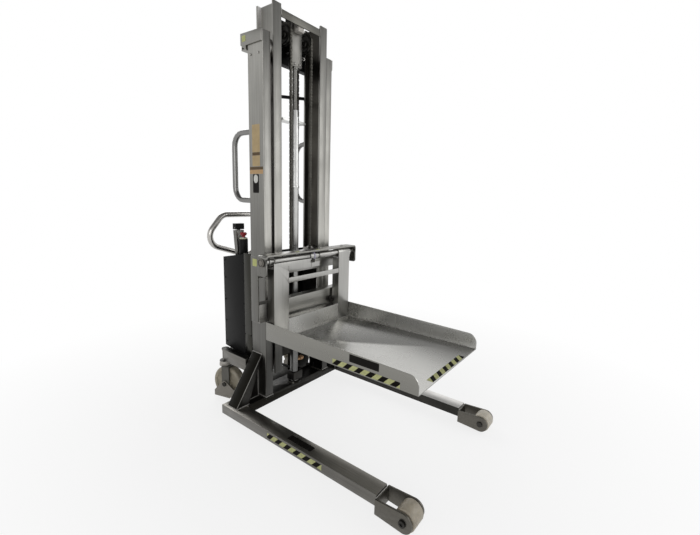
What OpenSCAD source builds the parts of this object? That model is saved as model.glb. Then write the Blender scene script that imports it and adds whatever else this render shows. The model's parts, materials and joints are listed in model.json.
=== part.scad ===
// Straddle stacker with a two-stage mast, a chain-hung carriage and a drop-sided load tray.
// Millimetres. X is across the machine, the legs and the tray point to -Y and +Z is up.
// Every module is drawn from the front plane of the outer mast, and the last lines move the
// whole machine along Y so that the origin is on the floor under the middle of its outline.

/* [Mast] */
// Height of the outer uprights above the floor
mast_top = 1830; // [1780:1:1900]
// Half width over the outer uprights
outer_half = 232; // [228:1:234]
// Width of an outer upright's flange
outer_flange = 44; // [42:1:46]
// Depth of an outer upright, front to back
outer_depth = 109; // [107:1:111]
// Half width over the inner uprights
inner_half = 178; // [176:1:179]
// Width of an inner upright's flange
inner_flange = 48; // [46:1:50]
// Depth of an inner upright, front to back
inner_depth = 118; // [116:1:120]
// Length of an inner upright
inner_len = 1761; // [1740:1:1770]
// How far the inner uprights stand above the outer ones as drawn
inner_proud = 135; // [120:1:150]

/* [Chassis] */
// Half width over the two straddle legs
leg_half = 402; // [395:1:410]
// Width of a leg
leg_w = 72; // [68:1:76]
// Height of a leg's section
leg_h = 46; // [42:1:50]
// Height of a leg's top face above the floor
leg_top = 80; // [78:1:84]
// How far the legs reach in front of the mast
leg_reach = 800; // [780:1:820]
// How far the legs reach behind the mast's front
leg_tail = 131; // [125:1:135]
// Distance of the load rollers' axles in front of the mast
roller_reach = 912; // [905:1:920]
// Radius of a load roller
roller_r = 41; // [39:0.5:42]

/* [Casters] */
// Distance of a caster's swivel from the centre plane
swivel_x = 250; // [245:1:255]
// Distance of the swivels behind the mast's front
swivel_y = 318; // [310:1:325]
// Radius of a caster wheel
caster_r = 90; // [88:1:91]
// How far a caster wheel's axle trails the swivel
trail = 25; // [20:1:30]
// How far the casters are turned from straight ahead, as drawn
caster_turn = 15; // [-20:1:20]

/* [Carriage and tray] */
// Height of the fork shaft's axis as drawn
shaft_z = 810; // [805:1:815]
// Distance of the fork shaft's axis in front of the mast
shaft_reach = 92; // [90:1:94]
// Radius of the fork shaft
shaft_r = 12; // [11:0.5:13]
// Half width over the carriage's side plates
carriage_half = 325; // [322:1:328]
// Half width over the tray
tray_half = 280; // [276:1:284]
// How far the tray reaches in front of the mast
tray_reach = 879; // [860:1:890]
// Height of the tray's underside as drawn
tray_z = 429; // [420:1:435]

/* [Lift] */
// Distance of the lift cylinder's axis behind the mast's front
cyl_y = 42; // [41:1:43]
// Outer radius of the lift cylinder
cyl_r = 21; // [20:0.5:22]
// Radius of the piston rod
rod_r = 12; // [11:0.5:13]
// Height of the lift cylinder's top
cyl_top = 1537; // [1500:1:1545]
// Distance of the chain pulleys from the centre plane
pulley_x = 68; // [67:1:70]
// Height of the chain pulleys' axle as drawn
pulley_z = 1866; // [1860:1:1870]
// Distance of the chain pulleys' axle behind the mast's front
pulley_y = 44; // [43:1:45]
// Radius from the axle to the middle of the chain
chain_r = 46.5; // [46:0.1:47]

/* [Handles] */
// Distance of the push handle's loop behind the mast's front
handle_y = 455; // [445:1:465]
// Outer radius of the push handle's tube
handle_r = 14; // [12:0.5:15]
// Outer radius of the grips' tube
grip_r = 13.5; // [12:0.5:14]

/* [Hidden] */
$fn = 64;
gap = 0.3;
run = 0.05;
mast_web = 8;
outer_lip = 9;
inner_lip = 10;
inner_web = 7;
inner_y = -8.5;
inner_top = mast_top + inner_proud;
inner_base = inner_top - inner_len;
outer_mid = outer_depth / 2;
inner_mid = inner_y + inner_depth / 2;
outer_roller_r = outer_depth / 2 - outer_lip - gap;
inner_roller_r = inner_depth / 2 - inner_lip - gap;
pin_r = 10;
foot_z = 92;
beam_front = 20;
beam_bottom = leg_top - 44;
outer_roller_z = mast_top - 60;
inner_roller_z = inner_base + 50;
fork_t = 8;
fork_half = 46;
plate_front = -shaft_reach - 24;
frame_in = 184;
frame_out = 274;
frame_front = -116;
frame_back = -70;
sleeve_r = 16.5;
clamp_x = 28;
clamp_foot = 784;
wall_t = 4;
side_back = -14;
side_bottom = 524;
side_top = 843;
cross_back = -14;
lower_z = 519;
lower_h = 88;
bar_front = -62;
roller_plate_x = 120;
upper_roller_z = 790;
lower_roller_z = 600;
cover_back = 342;
cover_front = 165;
cover_high = 813;
cover_low = 780;
strip_top = 819;
rocker_z = 934;
strip_bottom = 263;
hose_x = 47;
hose_y = 240;
port_z = 118;
arm_top = 278;
arm_in = outer_half + gap;
arm_out = 272;
swivel_r = 32;
steel = [0.66, 0.65, 0.62];
dark_steel = [0.5, 0.49, 0.46];
polished = [0.78, 0.77, 0.75];
black = [0.08, 0.08, 0.08];
nylon = [0.8, 0.77, 0.68];
red = [0.72, 0.08, 0.06];
y_front = -roller_reach - roller_r;
y_back = handle_y + handle_r;
y_mid = -(y_front + y_back) / 2;

// Repeats its children on both sides of the centre plane.
module both() {
  children();
  mirror([1, 0, 0]) children();
}

// A cylinder along X between two places.
module rod_x(x0, x1, r, y, z) {
  translate([min(x0, x1), y, z]) rotate([0, 90, 0]) cylinder(h = abs(x1 - x0), r = r);
}

// A cylinder along Y between two places.
module rod_y(y0, y1, r, x, z) {
  translate([x, max(y0, y1), z]) rotate([90, 0, 0]) cylinder(h = abs(y1 - y0), r = r);
}

// A box between two corners.
module box(a, b) {
  translate(a) cube(b - a);
}

// A plate with a side profile of [y, z] points, between two places along X.
module plate_x(x0, x1, points) {
  translate([x0, 0, 0]) rotate([90, 0, 90]) linear_extrude(x1 - x0) polygon(points);
}

// A plate with a front profile of [x, z] points, between two places along Y.
module plate_y(y0, y1, points) {
  translate([0, y1, 0]) rotate([90, 0, 0]) linear_extrude(y1 - y0) polygon(points);
}

// A flat rectangle with its four corners rounded.
module round_rect(w, d, r) {
  translate([r, 0]) square([w - 2 * r, d]);
  translate([0, r]) square([w, d - 2 * r]);
  for (x = [r, w - r], y = [r, d - r]) translate([x, y]) circle(r);
}

// The turn at corner i of a path, positive to the left.
function heading(p, i) = atan2(p[i + 1][1] - p[i][1], p[i + 1][0] - p[i][0]);
function wrap(a) = a > 180 ? a - 360 : a < -180 ? a + 360 : a;
function turn_at(p, i) = wrap(heading(p, i) - heading(p, i - 1));
// The length that the bend at corner i takes from each of its two straights.
function trim(p, i, bend) =
  i == 0 || i == len(p) - 1 ? 0 : bend * tan(abs(turn_at(p, i)) / 2);

// A bent tube in the plane of the page: straights joined by round bends.
module bent_tube(p, bend, r) {
  for (i = [0:len(p) - 2]) {
    a = heading(p, i);
    l = norm(p[i + 1] - p[i]);
    t0 = trim(p, i, bend);
    t1 = trim(p, i + 1, bend);
    translate([p[i][0], p[i][1], 0]) rotate([0, 0, a]) translate([t0, 0, 0]) rotate([0, 90, 0])
      cylinder(h = l - t0 - t1, r = r);
  }
  for (i = [1:len(p) - 2]) {
    a = heading(p, i - 1);
    turn = turn_at(p, i);
    side = sign(turn);
    start = [p[i][0], p[i][1]] - trim(p, i, bend) * [cos(a), sin(a)];
    centre = start + side * bend * [-sin(a), cos(a)];
    translate([centre[0], centre[1], 0]) rotate([0, 0, a - side * 90 + min(0, turn)])
      rotate_extrude(angle = abs(turn)) translate([bend, 0]) circle(r);
  }
}

// Straddle leg: a closed rectangular tube.
module leg() {
  wall = 4;
  x0 = -leg_half;
  x1 = -leg_half + leg_w;
  bottom = leg_top - leg_h;
  difference() {
    box([x0, -leg_reach, bottom], [x1, leg_tail, leg_top]);
    box([x0 + wall, -leg_reach + wall, bottom + wall], [x1 - wall, leg_tail - wall, leg_top - wall]);
  }
}

// Fork at the end of a leg: a cross plate and two cheeks with round noses about the axle.
module roller_fork() {
  nose = 36;
  cheek = 8;
  mid = -leg_half + leg_w / 2;
  back = -leg_reach - gap;
  for (s = [-1, 1]) {
    x = mid + s * (fork_half - cheek / 2) - cheek / 2;
    difference() {
      union() {
        plate_x(x, x + cheek, [[back, 12], [back, 70], [-roller_reach, roller_r + nose],
          [-roller_reach, roller_r - nose]]);
        rod_x(x, x + cheek, nose, -roller_reach, roller_r);
      }
      rod_x(x - 1, x + cheek + 1, pin_r, -roller_reach, roller_r);
    }
  }
  box([mid - fork_half, back - 6, 12], [mid + fork_half, back, 70]);
}

// Roller axles with hexagon sockets, and the screws of the mast's top beam.
module chassis_fasteners() {
  x = -leg_half + leg_w / 2 - fork_half;
  color(dark_steel) {
    both() difference() {
      union() {
        rod_x(x, x + 2 * fork_half + 5, pin_r - run, -roller_reach, roller_r);
        rod_x(x - 6, x - gap, 13, -roller_reach, roller_r);
        rod_x(x + 2 * fork_half + gap, x + 2 * fork_half + 5, 13, -roller_reach, roller_r);
      }
      translate([x - 7, -roller_reach, roller_r]) rotate([0, 90, 0])
        cylinder(h = 5, r = 6.5, $fn = 6);
    }
    both() for (y = [29, 84]) rod_x(-outer_half - 4, -outer_half - 0.05, 5, y, mast_top - 93);
  }
}

// Chassis beam between the legs, with the feet under the uprights and the cylinder's seat.
module cross_beam() {
  color(dark_steel) difference() {
    union() {
      box([-leg_half + leg_w + gap, beam_front, beam_bottom],
          [leg_half - leg_w - gap, leg_tail - 1, leg_top]);
      both() box([-outer_half, -2, leg_top - 1], [-outer_half + outer_flange + 4, leg_tail - 1, foot_z - gap]);
      translate([0, cyl_y, leg_top - 1]) cylinder(h = 11, r = cyl_r + 14);
    }
    box([-leg_half + leg_w + 8, beam_front + 6, beam_bottom - 1],
        [leg_half - leg_w - 8, leg_tail - 7, leg_top - 8]);
    translate([0, cyl_y, leg_top + 2]) cylinder(h = 20, r = cyl_r + run);
  }
}

// Section of an outer upright: a channel that opens towards the centre plane.
module outer_section() {
  difference() {
    union() {
      translate([-outer_half, 0]) round_rect(outer_flange - 4, outer_depth, 6);
      translate([-outer_half + 12, 0]) square([outer_flange - 12, outer_depth]);
    }
    translate([-outer_half + mast_web, outer_lip])
      square([outer_flange, outer_depth - 2 * outer_lip]);
  }
}

// Outer upright with the stub axle that carries the inner upright's guide roller.
module outer_upright() {
  corner = 14;
  difference() {
    translate([0, 0, foot_z]) linear_extrude(mast_top - foot_z) outer_section();
    difference() {
      box([-outer_half - 1, -1, mast_top - corner], [-outer_half + corner, outer_depth + 1, mast_top + 1]);
      rod_y(-2, outer_depth + 2, corner, -outer_half + corner, mast_top - corner);
    }
  }
  rod_x(-outer_half + mast_web - 1, -187, 14, inner_mid, outer_roller_z);
  rod_x(-187, -162, pin_r, inner_mid, outer_roller_z);
}

// Beam over the top of the mast: cheeks outside the uprights and a bar behind them.
module mast_top_beam() {
  cheek = 6;
  bar_y = 118;
  back = 150;
  x = outer_half + gap;
  color(steel) {
    both() plate_x(-x - cheek, -x, [[4, mast_top - 49], [bar_y - 6, mast_top - 49],
      [bar_y - 6, mast_top - 66], [bar_y, mast_top - 66], [back, mast_top - 44], [back, mast_top + 6],
      [4, mast_top + 1]]);
    difference() {
      box([-x, bar_y, mast_top - 66], [x, back, mast_top + 6]);
      box([-x - 1, bar_y + 6, mast_top - 60], [x + 1, back - 6, mast_top]);
    }
  }
}

// Black bar across the back of the outer uprights, folded to an angle and held off by pads.
module rear_tie_upper() {
  y0 = outer_depth + 3;
  low = 1600;
  high = 1628;
  color(black) {
    box([-outer_half + 2, y0, low], [outer_half - 2, y0 + 3, high]);
    box([-outer_half + 2, y0, low], [outer_half - 2, y0 + 14, low + 3]);
    both() box([-outer_half + 4, outer_depth + gap, low + 4], [-outer_half + 40, y0 + 1, high - 4]);
  }
}

// Beam behind the foot of the mast that joins the rear arms, with the shelf for the power unit.
module rear_beam() {
  y0 = outer_depth + 3;
  half = outer_half;
  low = 214;
  shelf = 257;
  color(dark_steel) difference() {
    union() {
      box([-half, y0, low], [half, 160, shelf + 5]);
      box([-half + 6, y0, shelf], [half - 6, cover_back - 6, shelf + 6]);
      both() box([-half + 4, outer_depth + gap, low + 4], [-half + 40, y0 + 1, shelf]);
    }
    box([-half - 1, y0 + 5, low + 5], [half + 1, 155, shelf]);
    translate([hose_x, hose_y, shelf - 1]) cylinder(h = 8, r = 12);
  }
}

// Sloping brace from an upright's side down to its leg, with its two web plates.
module brace() {
  x0 = -outer_half - gap;
  z0 = leg_top + gap;
  slope = 156;
  rise = 236;
  plate_y(30, 102, [[x0, z0 + rise - 14], [x0, z0 + rise], [x0 - slope, z0], [x0 - slope + 9, z0]]);
  plate_y(30, 36, [[x0, z0 + rise - 6], [x0 - slope + 4, z0], [x0 - 82, z0]]);
  plate_y(64, 70, [[x0, z0 + rise - 6], [x0 - slope + 4, z0], [x0, z0]]);
}

// Lift cylinder: a bored tube with its gland, clamp ring, foot and the chains' anchor bar.
module lift_cylinder() {
  foot = leg_top + 2 + gap;
  anchor_y = pulley_y + chain_r;
  color(steel) difference() {
    union() {
      translate([0, cyl_y, foot]) cylinder(h = cyl_top - 34 - foot, r = cyl_r);
      translate([0, cyl_y, cyl_top - 34]) cylinder(h = 34, r = cyl_r - 3.5);
      translate([0, cyl_y, 1150]) cylinder(h = 14, r = cyl_r + 2.5);
      box([-28, cyl_y - 27, foot + 14], [36, cyl_y + 27, foot + 60]);
      rod_x(cyl_r, hose_x + 9, 10, cyl_y, port_z);
      both() box([-pulley_x - 12, cyl_y, cyl_top - 60], [1, anchor_y + 8, cyl_top - 48]);
      both() translate([-pulley_x, anchor_y, cyl_top - 75]) cylinder(h = 50, r = 7);
    }
    translate([0, cyl_y, foot + 12]) cylinder(h = cyl_top, r = rod_r + 4);
  }
  color(dark_steel) difference() {
    translate([0, cyl_y, cyl_top - 26]) cylinder(h = 22, r = rod_r + 4 + 0.5);
    translate([0, cyl_y, cyl_top - 30]) cylinder(h = 40, r = rod_r + run);
  }
}

// Arm that runs back from the chassis to a caster, open below, with the caster's stem.
module rear_arm() {
  wall = 6;
  bottom = 214;
  back = 303;
  socket = 196;
  union() {
    difference() {
      box([-arm_out, outer_depth + 3, bottom], [-arm_in, back, arm_top]);
      box([-arm_out + wall, outer_depth + 9, bottom - 1], [-arm_in - wall, back - 6, arm_top - 8]);
    }
    box([-arm_out, back - 1, arm_top - 8], [-arm_in, swivel_y, arm_top]);
    translate([-swivel_x, swivel_y, arm_top - 8]) cylinder(h = 8, r = 20);
    translate([-swivel_x, swivel_y, socket + 9]) cylinder(h = arm_top - socket - 13, r = 17);
    translate([-swivel_x, swivel_y, socket]) cylinder(h = 14, r = swivel_r);
  }
}

// Upright corner strip of the rear housing, in two lengths.
module corner_strip() {
  split = 392;
  for (z = [[strip_bottom, split - 2], [split + 2, strip_top]])
    box([-outer_half, outer_depth + 1, z[0]], [-outer_half + 6, cover_front - gap, z[1]]);
  box([-outer_half, outer_depth + 10, split - 6], [-outer_half + 3, cover_front - 8, split + 6]);
}

// Black housing behind the mast: a shell, open below, whose top and bottom slope.
module power_cover() {
  wall = 3;
  half = outer_half;
  low_front = 265;
  low_back = 287;
  color(black) difference() {
    plate_x(-half, half, [[cover_front, low_front], [cover_front, cover_high],
      [cover_back, cover_low], [cover_back, low_back]]);
    plate_x(-half + wall, half - wall, [[cover_front + wall, low_front - 30],
      [cover_front + wall, cover_high - wall], [cover_back - wall, cover_low - wall],
      [cover_back - wall, low_back - 30]]);
  }
}

// Battery block on its tray, with two terminals.
module battery() {
  color([0.16, 0.16, 0.17]) {
    box([-200, 180, 290], [30, 325, 480]);
    for (x = [-160, -10]) translate([x, 300, 480]) cylinder(h = 14, r = 8);
  }
  color(dark_steel) box([-205, 176, 282], [35, 330, 289]);
}

// Hydraulic power unit: oil tank, valve block and electric motor.
module pump_unit() {
  color(dark_steel) {
    box([60, 185, 290], [205, 320, 500]);
    box([85, 205, 500], [180, 300, 560]);
    translate([132, 252, 560]) cylinder(h = 170, r = 56);
    translate([132, 252, 730]) cylinder(h = 14, r = 30);
    rod_x(hose_x - 9, 61, 9, hose_y, 329 + gap);
  }
}

// Pressure hose from the power unit's outlet down and forward to the cylinder's port.
module hydraulic_hose() {
  color(black) translate([hose_x, 0, 0]) rotate([90, 0, 90])
    bent_tube([[hose_y, 320], [hose_y, port_z], [cyl_y + 10 + gap, port_z]], 38, 7);
}

// Upright grip behind an outer upright.
module grip() {
  x = -outer_half + outer_flange / 2;
  y0 = outer_depth + gap;
  y1 = 248;
  low = 1083;
  high = 1402;
  translate([x, 0, 0]) rotate([90, 0, 90])
    bent_tube([[y0, low], [y1, low], [y1, high], [y0, high]], 42, grip_r);
}

// Push handle: a closed loop of tube that faces the operator, on a neck behind the housing.
// Its sides slope by 4 in 3 above and by 7 in 24 below, so that every bend meets its straights.
module push_handle() {
  top = 994;
  low = 753.5;
  corner_x = 156;
  side_x = 276;
  side_z = 834;
  neck_r = 17;
  color(polished) {
    translate([0, handle_y, 0]) rotate([90, 0, 0])
      bent_tube([[0, low], [-side_x, side_z], [-corner_x, top], [corner_x, top], [side_x, side_z],
        [0, low]], 45, handle_r);
    translate([0, handle_y, 560]) cylinder(h = low + 19 - 560, r = neck_r);
  }
  color(steel) {
    box([-30, cover_back + 7, 575], [30, handle_y, 625]);
    box([-60, cover_back + gap, 540], [60, cover_back + 8, 660]);
  }
}

// Keeps what stands above the sloping top of the rear housing.
module above_cover() {
  intersection() {
    children();
    plate_x(-outer_half, outer_half, [[cover_front, cover_high + gap], [cover_back, cover_low + gap],
      [cover_back, cover_high + 200], [cover_front, cover_high + 200]]);
  }
}

// Post that carries the lift control.
module control_post() {
  x = -163;
  y = 300;
  top = rocker_z - 12;
  color(steel) {
    above_cover() plate_y(y - 13, y + 13, [[x - 14, 780], [x + 22, 780], [x + 25, top], [x - 25, top]]);
    box([x - 6, y - 7, top - 1], [x + 6, y + 7, rocker_z + 10]);
  }
  color(dark_steel) rod_x(x - 26, x + 26, 5, y, rocker_z);
}

// Rocking head of the lift control.
module control_rocker() {
  x = -163;
  y = 300;
  color(black) difference() {
    box([x - 26, y - 14, rocker_z - 8], [x + 26, y + 14, rocker_z + 23]);
    box([x - 6 - gap, y - 12, rocker_z - 9], [x + 6 + gap, y + 12, rocker_z + 13]);
    rod_x(x - 27, x + 27, 5 + run, y, rocker_z);
  }
}

// Housing of the emergency stop.
module stop_housing() {
  x = -176;
  y = 240;
  color(black) difference() {
    union() {
      above_cover() translate([x, y, 785]) cylinder(h = 95, r = 22);
      translate([x, y, 879]) cylinder(h = 8, r = 17);
    }
    translate([x, y, 848]) cylinder(h = 60, r = 9 + run);
  }
}

// Mushroom button of the emergency stop.
module stop_button() {
  x = -176;
  y = 240;
  color(red) {
    translate([x, y, 856]) cylinder(h = 44, r = 9);
    translate([x, y, 898]) cylinder(h = 10, r1 = 13.5, r2 = 18.5);
    translate([x, y, 908]) cylinder(h = 7, r1 = 18.5, r2 = 13.5);
  }
}

// Places what is drawn about a swivel axis at the left caster.
module at_caster() {
  translate([-swivel_x, swivel_y, 0]) rotate([0, 0, caster_turn]) children();
}

// The same at the right caster, turned the same way.
module at_right_caster() {
  translate([swivel_x, swivel_y, 0]) rotate([0, 0, caster_turn]) children();
}

// Caster fork: bearing plate, two legs and the axle bolt.
module caster_fork() {
  leg_x = 34;
  leg_half = 26;
  crown = 188;
  color(steel) {
    difference() {
      union() {
        translate([0, 0, crown]) cylinder(h = 196 - gap - crown, r = swivel_r);
        for (s = [-1, 1]) {
          box([s * leg_x - 3, -trail - leg_half, caster_r], [s * leg_x + 3, leg_half - trail, crown - 4]);
          rod_x(s * leg_x - 3, s * leg_x + 3, leg_half, -trail, caster_r);
        }
        box([-leg_x - 3, -trail - leg_half, crown - 5], [leg_x + 3, 22, crown + 1]);
      }
      rod_x(-leg_x - 5, leg_x + 5, 8, -trail, caster_r);
    }
  }
  color(dark_steel) {
    rod_x(-leg_x - 12, leg_x + 12, 8, -trail, caster_r);
    translate([-leg_x - 16, -trail, caster_r]) rotate([0, 90, 0]) cylinder(h = 6, r = 13, $fn = 6);
    translate([leg_x + 10, -trail, caster_r]) rotate([0, 90, 0]) cylinder(h = 6, r = 13, $fn = 6);
  }
}

// Foot guard on a caster: two skirts hung on the axle bolt and a strip behind the wheel.
module caster_guard() {
  x = 42;
  t = 3;
  low = 14;
  rear = 45;
  color(steel) {
    for (s = [-1, 1]) difference() {
      union() {
        plate_x(s * x - t / 2, s * x + t / 2, [[rear, low], [rear, 44], [24, 67],
          [-trail + 12, caster_r + 12], [-trail - 12, caster_r + 12], [-92, 63], [-58, low]]);
        rod_x(s * x - t / 2, s * x + t / 2, 17, -trail, caster_r);
      }
      rod_x(s * x - 5, s * x + 5, 8 + gap, -trail, caster_r);
    }
    box([-x - t / 2, rear - t, low], [x + t / 2, rear, low + 10]);
  }
}

// Nylon caster wheel with a hub and dished sides.
module caster_wheel() {
  half = 24;
  color(nylon) translate([0, -trail, caster_r]) rotate([0, 90, 0]) rotate_extrude($fn = 96)
    polygon([[8 + run, -half - 4], [26, -half - 4], [28, -half + 5], [66, -half + 5], [70, -half],
      [caster_r - 6, -half], [caster_r, -half + 6], [caster_r, half - 6], [caster_r - 6, half],
      [70, half], [66, half - 5], [28, half - 5], [26, half + 4], [8 + run, half + 4]]);
}

// Nylon load roller between a fork's cheeks.
module load_roller() {
  half = 32.5;
  mid = -leg_half + leg_w / 2;
  color(nylon) translate([mid, -roller_reach, roller_r]) rotate([0, 90, 0]) rotate_extrude($fn = 96)
    polygon([[pin_r + run, -half], [roller_r - 2.5, -half], [roller_r, -half + 2.5],
      [roller_r, half - 2.5], [roller_r - 2.5, half], [pin_r + run, half]]);
}

// Section of an inner upright: a beam whose flanges reach to both sides of its web.
module inner_section() {
  x0 = -inner_half;
  translate([x0, inner_y]) square([inner_flange, inner_lip]);
  translate([x0, inner_y + inner_depth - inner_lip]) square([inner_flange, inner_lip]);
  translate([x0 + 21, inner_y + 1]) square([inner_web, inner_depth - 2]);
}

// Inner upright with the stub axle of its guide roller.
module inner_upright() {
  translate([0, 0, inner_base]) linear_extrude(inner_len) inner_section();
  rod_x(-inner_half + 22, -inner_half - 12, 14, outer_mid, inner_roller_z);
  rod_x(-inner_half - 12, -inner_half - 43, pin_r, outer_mid, inner_roller_z);
}

// Bar across the top of the inner uprights.
module inner_crossbar() {
  x = inner_half - inner_flange - gap;
  color(steel) difference() {
    box([-x, inner_y, inner_top - 46], [x, inner_y + 17, inner_top - 19]);
    box([-x - 1, inner_y + 5, inner_top - 47], [x + 1, inner_y + 18, inner_top - 24]);
  }
}

// Tie across the foot of the inner uprights, behind the chains.
module inner_lower_tie() {
  x = inner_half - inner_flange - gap;
  color(steel) box([-x, inner_y + inner_depth - 9, inner_base + 68],
                   [x, inner_y + inner_depth - 1, inner_base + 128]);
}

// Crosshead: front plate, dark block between the pulleys, rod socket and the pulleys' axle.
module crosshead() {
  low = 1738;
  front = 28;
  color(black) difference() {
    union() {
      box([-32, front, low], [32, front + 7, inner_top - 47]);
      box([-18, inner_y + 5 + gap, inner_top - 75], [18, front + 1, inner_top - 24 - gap]);
      box([-35, front + 6, 1800], [35, 78, inner_top - 30]);
      box([-26, front + 6, low], [26, 58, 1801]);
      rod_x(-84, 84, pin_r, pulley_y, pulley_z);
      both() rod_x(-88, -80, 14, pulley_y, pulley_z);
      both() rod_y(front - 5, front + 1, 5, -17, low + 12);
    }
    translate([0, cyl_y, low - 1]) cylinder(h = 42, r = rod_r + run);
  }
}

// Piston rod with the collar under the crosshead.
module piston_rod() {
  color(polished) {
    translate([0, cyl_y, 330]) cylinder(h = 1738 + 40 - 330, r = rod_r);
    translate([0, cyl_y, 330]) cylinder(h = 24, r = rod_r + 4 - run);
    translate([0, cyl_y, 1728]) cylinder(h = 10 - gap, r = rod_r + 5);
  }
}

// Chain pulley with a grooved rim.
module chain_pulley() {
  groove = chain_r - 4.8;
  rim = chain_r + 1;
  color(black) translate([-pulley_x, pulley_y, pulley_z]) rotate([0, 90, 0]) rotate_extrude($fn = 96)
    polygon([[pin_r + run, -11], [17, -11], [19, -5], [groove - 7, -5], [groove - 5, -10],
      [rim, -10], [rim, -7.5], [groove, -6.6], [groove, 6.6], [rim, 7.5], [rim, 10],
      [groove - 5, 10], [groove - 7, 5], [19, 5], [17, 11], [pin_r + run, 11]]);
}

// Links of a leaf chain along Z, with a pin through each.
module chain_strand(x, y, z0, z1) {
  w = 5.4;
  depth = 4.2;
  pitch = 19.05;
  count = floor((z1 - z0) / pitch);
  step = (z1 - z0) / count;
  box([x - w + 1, y - depth + 1, z0], [x + w - 1, y + depth - 1, z1]);
  for (i = [0:count - 1]) box([x - w, y - depth, z0 + (i + 0.1) * step], [x + w, y + depth, z0 + (i + 0.72) * step]);
}

// Front strands, from the carriage's anchors up to the pulleys.
module chain_front() {
  color(dark_steel) both() chain_strand(-pulley_x, pulley_y - chain_r, 764 + gap, pulley_z - gap);
}

// Back strands, from the cylinder's anchor bar up to the pulleys.
module chain_back() {
  color(dark_steel) both()
    chain_strand(-pulley_x, pulley_y + chain_r, cyl_top - 25 + gap, pulley_z - gap);
}

// The chains' half turns over the pulleys.
module chain_wraps() {
  color(dark_steel) both() translate([-pulley_x, pulley_y, pulley_z]) rotate([90, 0, 90])
    rotate_extrude(angle = 180) translate([chain_r - 4.2, -5.4]) square([8.4, 10.8]);
}

// Guide roller of a mast stage about its own stub.
module guide_roller(x0, x1, r, y, z) {
  color(dark_steel) both() difference() {
    rod_x(x0, x1, r, y, z);
    rod_x(x0 - 1, x1 + 1, pin_r + run, y, z);
  }
}

module outer_mast_rollers() {
  guide_roller(-186, -162, inner_roller_r, inner_mid, outer_roller_z);
}

module inner_mast_rollers() {
  guide_roller(-220, -192, outer_roller_r, outer_mid, inner_roller_z);
}

module carriage_rollers_upper() {
  guide_roller(-147, -124, inner_roller_r, inner_mid, upper_roller_z);
}

module carriage_rollers_lower() {
  guide_roller(-147, -124, inner_roller_r, inner_mid, lower_roller_z);
}

// Carriage weldment: two cross members, two roller plates inside the mast, and chain anchors.
module carriage_frame() {
  x = carriage_half - 8 - gap;
  color(steel) {
    box([-x, cross_back - 12, 738], [x, cross_back, 788]);
    difference() {
      box([-x, bar_front, lower_z], [x, cross_back, lower_z + lower_h]);
      box([-x - 1, bar_front + 6, lower_z + 6], [x + 1, cross_back - 6, lower_z + lower_h - 6]);
    }
    both() {
      box([-roller_plate_x, cross_back - 2, 540], [-roller_plate_x + 8, 92, 830]);
      for (z = [lower_roller_z, upper_roller_z]) {
        rod_x(-roller_plate_x - 3, -roller_plate_x + 4, 16, inner_mid, z);
        rod_x(-roller_plate_x, -147, pin_r, inner_mid, z);
      }
      box([-pulley_x - 12, cross_back - 1, 740], [-pulley_x + 12, 6, 752]);
      translate([-pulley_x, pulley_y - chain_r, 724]) cylinder(h = 40, r = 6);
    }
  }
}

// Side plate of the carriage, with the notch in its front edge.
module carriage_side() {
  x0 = -carriage_half;
  front = -122;
  shank = -63;
  ear = 747;
  r = 12;
  color(steel) difference() {
    union() {
      plate_x(x0, x0 + 8, [[shank, side_bottom + 6], [shank + 6, side_bottom], [side_back, side_bottom],
        [side_back, side_top - 8], [side_back - 46, side_top - 7 - gap], [front + 3, side_top - 7 - gap],
        [front, side_top - 12], [front, ear + r], [front + r, ear], [shank, ear]]);
      rod_x(x0, x0 + 8, r, front + r, ear + r);
    }
    rod_x(x0 - 1, x0 + 9, shaft_r + run, -shaft_reach, shaft_z);
  }
}

// Top plate of the carriage, with bolts through it.
module carriage_top_plate() {
  color(steel) {
    box([-carriage_half, -122, side_top - 7], [carriage_half, bar_front, side_top]);
    for (x = [-240, -100, 60, 230]) translate([x, -shaft_reach, side_top - 1])
      cylinder(h = 5, r = 7, $fn = 6);
  }
}

// Fork shaft with its end bolts and stop rings.
module fork_shaft() {
  color(polished) {
    rod_x(-carriage_half - 5, carriage_half + 5, shaft_r, -shaft_reach, shaft_z);
    both() rod_x(-carriage_half - 5, -carriage_half - gap, 15, -shaft_reach, shaft_z);
    both() rod_x(-290, -283, 18, -shaft_reach, shaft_z);
  }
}

// Split bearing block between the two sleeves of the tray's back frame, screwed to its band.
module shaft_clamp() {
  color(steel) difference() {
    union() {
      rod_x(-clamp_x, clamp_x, sleeve_r + 2, -shaft_reach, shaft_z);
      box([-clamp_x, frame_front + 1, clamp_foot], [clamp_x, -shaft_reach, shaft_z]);
    }
    rod_x(-clamp_x - 1, clamp_x + 1, shaft_r + run, -shaft_reach, shaft_z);
  }
  color(dark_steel) for (x = [-clamp_x / 2, clamp_x / 2])
    rod_y(frame_front - 3, frame_front + 3, 5, x, clamp_foot + 11);
}

// Upright of the tray's back frame: a channel that opens to the rear.
module frame_upright(top) {
  t = 6;
  box([-frame_out, frame_front, tray_z], [-frame_in, frame_front + t, top]);
  for (x = [-frame_out, -frame_in - t])
    box([x, frame_front, tray_z], [x + t, frame_back, top - 26]);
}

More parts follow.
